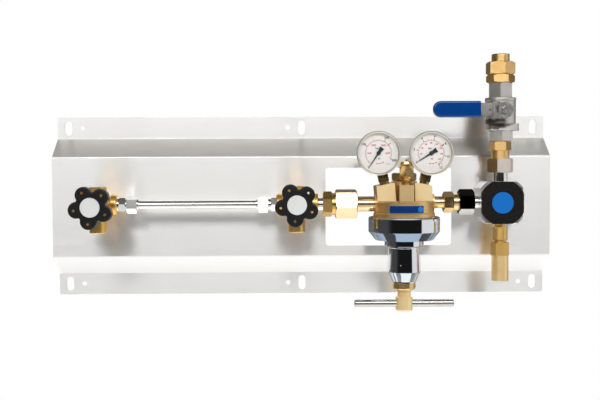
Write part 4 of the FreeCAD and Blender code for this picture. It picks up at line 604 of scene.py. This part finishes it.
def dress_regulator():
    sand = (0.80, 0.55, 0.25)
    sand_face = (1.0, 0.76, 0.40)
    dress(["inlet_adapter"],
          turned_metal("adapter_brass", (0.80, 0.52, 0.17), (0.62, 0.37, 0.09), 0.26, grain="x"))
    dress(["inlet_stem"], turned_metal("pale_brass", (0.95, 0.71, 0.42), (0.82, 0.55, 0.26), grain="x"))
    dress(["inlet_nut"], turned_metal("nut_brass", (0.80, 0.62, 0.40), (0.70, 0.50, 0.28), 0.24, grain="x"))
    dress(["regulator_body"], cast_body(sand, (0.64, 0.41, 0.15), sand_face))
    dress(["adjusting_screw"], cast_metal("sandy_brass", sand_face, (0.92, 0.66, 0.33), 0.34, 0.35))
    dress(["body_plug", "poppet", "regulator_relief", "lock_collar"],
          turned_metal("plug_brass", (0.88, 0.62, 0.28), (0.72, 0.46, 0.17), 0.28))
    dress(["gauge_sockets"], turned_metal("socket_brass", (0.46, 0.33, 0.12), (0.34, 0.23, 0.07), 0.24))
    dress(["regulator_bonnet"], polished_chrome())
    dress(["gauge_cases"], turned_metal("case_nickel", (0.88, 0.82, 0.73), (0.74, 0.67, 0.58), 0.42, grain="y"))
    dress(["tee_bar"], turned_metal("bar_steel", (0.54, 0.52, 0.49), (0.44, 0.42, 0.39), 0.16, grain="x"))
    dress(["gauge_dials"], moulded("dial_white", (0.94, 0.90, 0.86), (0.91, 0.87, 0.83), 0.45, 0.01))
    dress(["gauge_left_pointer", "gauge_right_pointer"],
          moulded("pointer_black", (0.004, 0.004, 0.004), (0.006, 0.006, 0.006), 0.5, 0.01, shine=0.1))
    dress(["gauge_glasses"], clear_glass())
    dress(["diaphragm"], moulded("diaphragm_rubber", (0.03, 0.03, 0.03), (0.02, 0.02, 0.022), 0.6, 0.05))
    dress(["blue_labels"], label_film())


def dress_outlet():
    dress(["outlet_stem"], turned_metal("stem_brass", (0.90, 0.64, 0.32), (0.74, 0.48, 0.19), 0.24, grain="x"))
    dress(["outlet_nut"], nickel_nut_painted_dark())
    dress(["outlet_block"],
          turned_metal("block_nickel", (0.83, 0.82, 0.80), (0.66, 0.65, 0.62), 0.34, grain="y"))
    dress(["block_cap"],
          moulded("gloss_black", (0.010, 0.009, 0.008), (0.014, 0.012, 0.010), 0.30, 0.01, shine=0.35))
    dress(["swivel_nut"], swivel_metal())
    dress(["brass_adapter", "union_body", "union_nut", "union_tail"],
          turned_metal("union_brass", (0.86, 0.575, 0.24), (0.72, 0.44, 0.15), 0.38, satin=0.8))
    dress(["relief_body", "relief_disc"],
          turned_metal("relief_brass", (0.82, 0.53, 0.18), (0.66, 0.38, 0.10), 0.38, satin=0.8))
    dress(["relief_hood"], hood_brass())
    dress(["ball_valve_body", "ball_valve_end"], valve_nickel())
    dress(["ball"], turned_metal("ball_chrome", (0.85, 0.85, 0.86), (0.8, 0.8, 0.8), 0.05))
    dress(["seal_rings"], moulded("seal_white", (0.80, 0.80, 0.77), (0.75, 0.75, 0.72), 0.45, 0.02))
    dress(["ball_stem", "lever", "lever_nut", "spring_plate"],
          turned_metal("bright_steel", (0.62, 0.60, 0.57), (0.46, 0.44, 0.41), 0.30, grain="x"))
    dress(["lever_sleeve"],
          moulded("sleeve_blue", (0.0002, 0.054, 0.26), (0.0002, 0.046, 0.225), 0.16, 0.012, coat=0.6))
    dress(["main_spring", "poppet_spring", "relief_spring"],
          turned_metal("spring_wire", (0.45, 0.45, 0.46), (0.3, 0.3, 0.3), 0.3))


# Dial faces: plain scales, numbers and ticks

DIAL_Y = -0.11355
# Angles are in degrees from the right, anticlockwise. A scale runs from zero down by a step for each number.
DIALS = {
    "left": {
        "centre": (0.1079, 0.0782),
        "zero": 236.0,
        "step": 87.0,
        "numbers": ("0", "100", "200", "300"),
        "minor": 10,
        "inner": ((181.0, "1000"), (121.7, "2000"), (57.8, "3000"), (-0.7, "4000")),
        "inner_r": 0.0132,
        "mark": 39.5,
    },
    "right": {
        "centre": (0.1832, 0.0779),
        "zero": 212.0,
        "step": 44.7,
        "numbers": ("0", "2", "4", "6", "8", "10", "12"),
        "minor": 4,
        "inner": ((184.0, "20"), (150.0, "40"), (120.0, "60"), (90.0, "80"), (60.0, "100"),
                  (28.0, "120"), (-4.0, "140"), (-36.0, "160")),
        "inner_r": 0.0146,
        "mark": 36.0,
    },
}
SCALE_R = 0.0186
SCALE_LINE = 0.00022
SCALE_STEPS = 72
NUMBER_R = 0.0247
NUMBER_SIZE = 0.0046
INNER_NUMBER_SIZE = 0.0034
MAJOR_TICK = (0.0033, 0.0009)
HALF_TICK = (0.0020, 0.00028)
MINOR_TICK = (0.0013, 0.00028)
INNER_TICKS = 60
ORANGE_ANGLES = (-96.0, -80.0, -64.0)
# Words, distance and angle from the dial's centre, and size
DIAL_WORDS = (
    ("unit", "bar", 0.0072, 104.0, 0.0038),
    ("second_unit", "psi", 0.0078, 278.0, 0.0032),
    ("class", "cl 1.6", 0.0205, 312.0, 0.0022),
)
# Height of each print above the dial
RING_LIFT = 0.00001
MARK_LIFT = 0.00002
WORD_LIFT = 0.00003


def flat_material(name, color):
    s = Shader(name, color)
    s.tint(s.ramp(s.noise(800, 2), 0.35, 0.7, 0.0, 0.25), tuple(c * 0.8 for c in color))
    return s.done()


def dial_point(centre, radius, angle, lift=0.0):
    a = math.radians(angle)
    return (centre[0] + radius * math.cos(a), DIAL_Y - lift, centre[1] + radius * math.sin(a))


def sector(mesh, centre, inner, outer, start, end, steps, lift=0.0):
    low = []
    high = []
    for i in range(steps + 1):
        angle = start + (end - start) * i / steps
        low.append(mesh.verts.new(dial_point(centre, inner, angle, lift)))
        high.append(mesh.verts.new(dial_point(centre, outer, angle, lift)))
    for i in range(steps):
        mesh.faces.new((low[i], high[i], high[i + 1], low[i + 1]))


def tick(mesh, centre, inner, outer, angle, width, lift=0.0):
    half = math.degrees(width / 2 / outer)
    sector(mesh, centre, inner, outer, angle + half, angle - half, 1, lift)


def flat_piece(name, mesh, mat):
    bmesh.ops.recalc_face_normals(mesh, faces=mesh.faces)
    data = bpy.data.meshes.new(name)
    for face in mesh.faces:
        if face.normal.y > 0:
            face.normal_flip()
    mesh.to_mesh(data)
    mesh.free()
    data.materials.append(mat)
    obj = put_in_scene(bpy.data.objects.new(name, data))
    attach(obj, ROOT)


def label_text(name, words, at, size, mat):
    curve = bpy.data.curves.new(name, "FONT")
    curve.body = words
    curve.size = size
    curve.align_x = "CENTER"
    curve.align_y = "CENTER"
    curve.resolution_u = 2
    curve.offset = size * 0.028
    curve.materials.append(mat)
    obj = bpy.data.objects.new(name, curve)
    obj.location = at
    obj.rotation_euler = (math.radians(90), 0, 0)
    put_in_scene(obj)
    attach(obj, ROOT)


def draw_scale(side, dial, last, mat):
    mesh = bmesh.new()
    centre = dial["centre"]
    sector(mesh, centre, SCALE_R, SCALE_R + SCALE_LINE, dial["zero"], last, SCALE_STEPS)
    count = (len(dial["numbers"]) - 1) * dial["minor"]
    for i in range(count + 1):
        angle = dial["zero"] - dial["step"] * i / dial["minor"]
        reach, width = MINOR_TICK
        if i % (dial["minor"] // 2) == 0:
            reach, width = HALF_TICK
        if i % dial["minor"] == 0:
            reach, width = MAJOR_TICK
        tick(mesh, centre, SCALE_R, SCALE_R + reach, angle, width)
    flat_piece(side + "_scale", mesh, mat)


def draw_inner_scale(side, dial, last, mat):
    mesh = bmesh.new()
    centre = dial["centre"]
    sector(mesh, centre, SCALE_R - 0.0008, SCALE_R - 0.0004, dial["zero"], last, SCALE_STEPS, RING_LIFT)
    for i in range(INNER_TICKS + 1):
        angle = dial["zero"] + (last - dial["zero"]) * i / INNER_TICKS
        tick(mesh, centre, SCALE_R - 0.0018, SCALE_R - 0.0006, angle, MINOR_TICK[1], RING_LIFT)
    flat_piece(side + "_inner_scale", mesh, mat)


def draw_marks(side, dial, red, orange):
    mark = bmesh.new()
    tick(mark, dial["centre"], SCALE_R - 0.0030, SCALE_R + 0.0042, dial["mark"], 0.0011, MARK_LIFT)
    flat_piece(side + "_red_mark", mark, red)
    marks = bmesh.new()
    for angle in ORANGE_ANGLES:
        tick(marks, dial["centre"], 0.0143, 0.0158, angle, 0.0034, MARK_LIFT)
    flat_piece(side + "_orange_marks", marks, orange)


def write_numbers(side, dial, black, red):
    centre = dial["centre"]
    for i, words in enumerate(dial["numbers"]):
        at = dial_point(centre, NUMBER_R, dial["zero"] - dial["step"] * i, WORD_LIFT)
        label_text(f"{side}_number_{i}", words, at, NUMBER_SIZE, black)
    for i, (angle, words) in enumerate(dial["inner"]):
        at = dial_point(centre, dial["inner_r"], angle, WORD_LIFT)
        label_text(f"{side}_inner_{i}", words, at, INNER_NUMBER_SIZE, red)
    for name, words, radius, angle, size in DIAL_WORDS:
        label_text(side + "_" + name, words, dial_point(centre, radius, angle, WORD_LIFT), size, black)


def make_dials():
    black = flat_material("dial_black", (0.03, 0.03, 0.03))
    red = flat_material("dial_red", (0.62, 0.04, 0.06))
    rose = flat_material("dial_rose", (0.80, 0.32, 0.33))
    orange = flat_material("dial_orange", (0.72, 0.25, 0.06))
    for side, dial in DIALS.items():
        last = dial["zero"] - dial["step"] * (len(dial["numbers"]) - 1)
        draw_scale(side, dial, last, black)
        draw_inner_scale(side, dial, last, rose)
        draw_marks(side, dial, red, orange)
        write_numbers(side, dial, black, red)


# Springs

# Node, body and joint, and the heights of the end that moves with the body and of the end that stays
SPRINGS = (
    ("main_spring", "spring_carrier", "spring_travel", -0.0840, -0.0318),
    ("poppet_spring", "poppet", "poppet_lift", 0.0130, 0.0260),
    ("relief_spring", "relief_disc", "relief_lift", -0.0380, -0.0680),
)


def make_springs():
    """Stand a copy in for each spring, attached to the body of its moving end, and hide the spring itself."""
    for node, body, joint, moving_z, fixed_z in SPRINGS:
        coil = put_in_scene(bpy.data.objects.new(node + "_coil", NODES[node].data.copy()))
        coil.matrix_world = NODES[node].matrix_world.copy()
        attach(coil, body)
        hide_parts(node)
        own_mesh(coil)


SHARP_ANGLE = math.radians(32)


def smooth_curved_faces():
    for obj in NODES.values():
        for polygon in obj.data.polygons:
            polygon.use_smooth = True
        obj.data.set_sharp_from_angle(angle=SHARP_ANGLE)


make_camera()
make_world()
make_floor()
for lamp in LAMPS:
    area_light(*lamp)
dress_panel_and_valves()
dress_regulator()
dress_outlet()
make_dials()
smooth_curved_faces()
make_springs()
bpy.context.scene.view_settings.view_transform = "Standard"
bpy.context.scene.view_settings.look = "None"
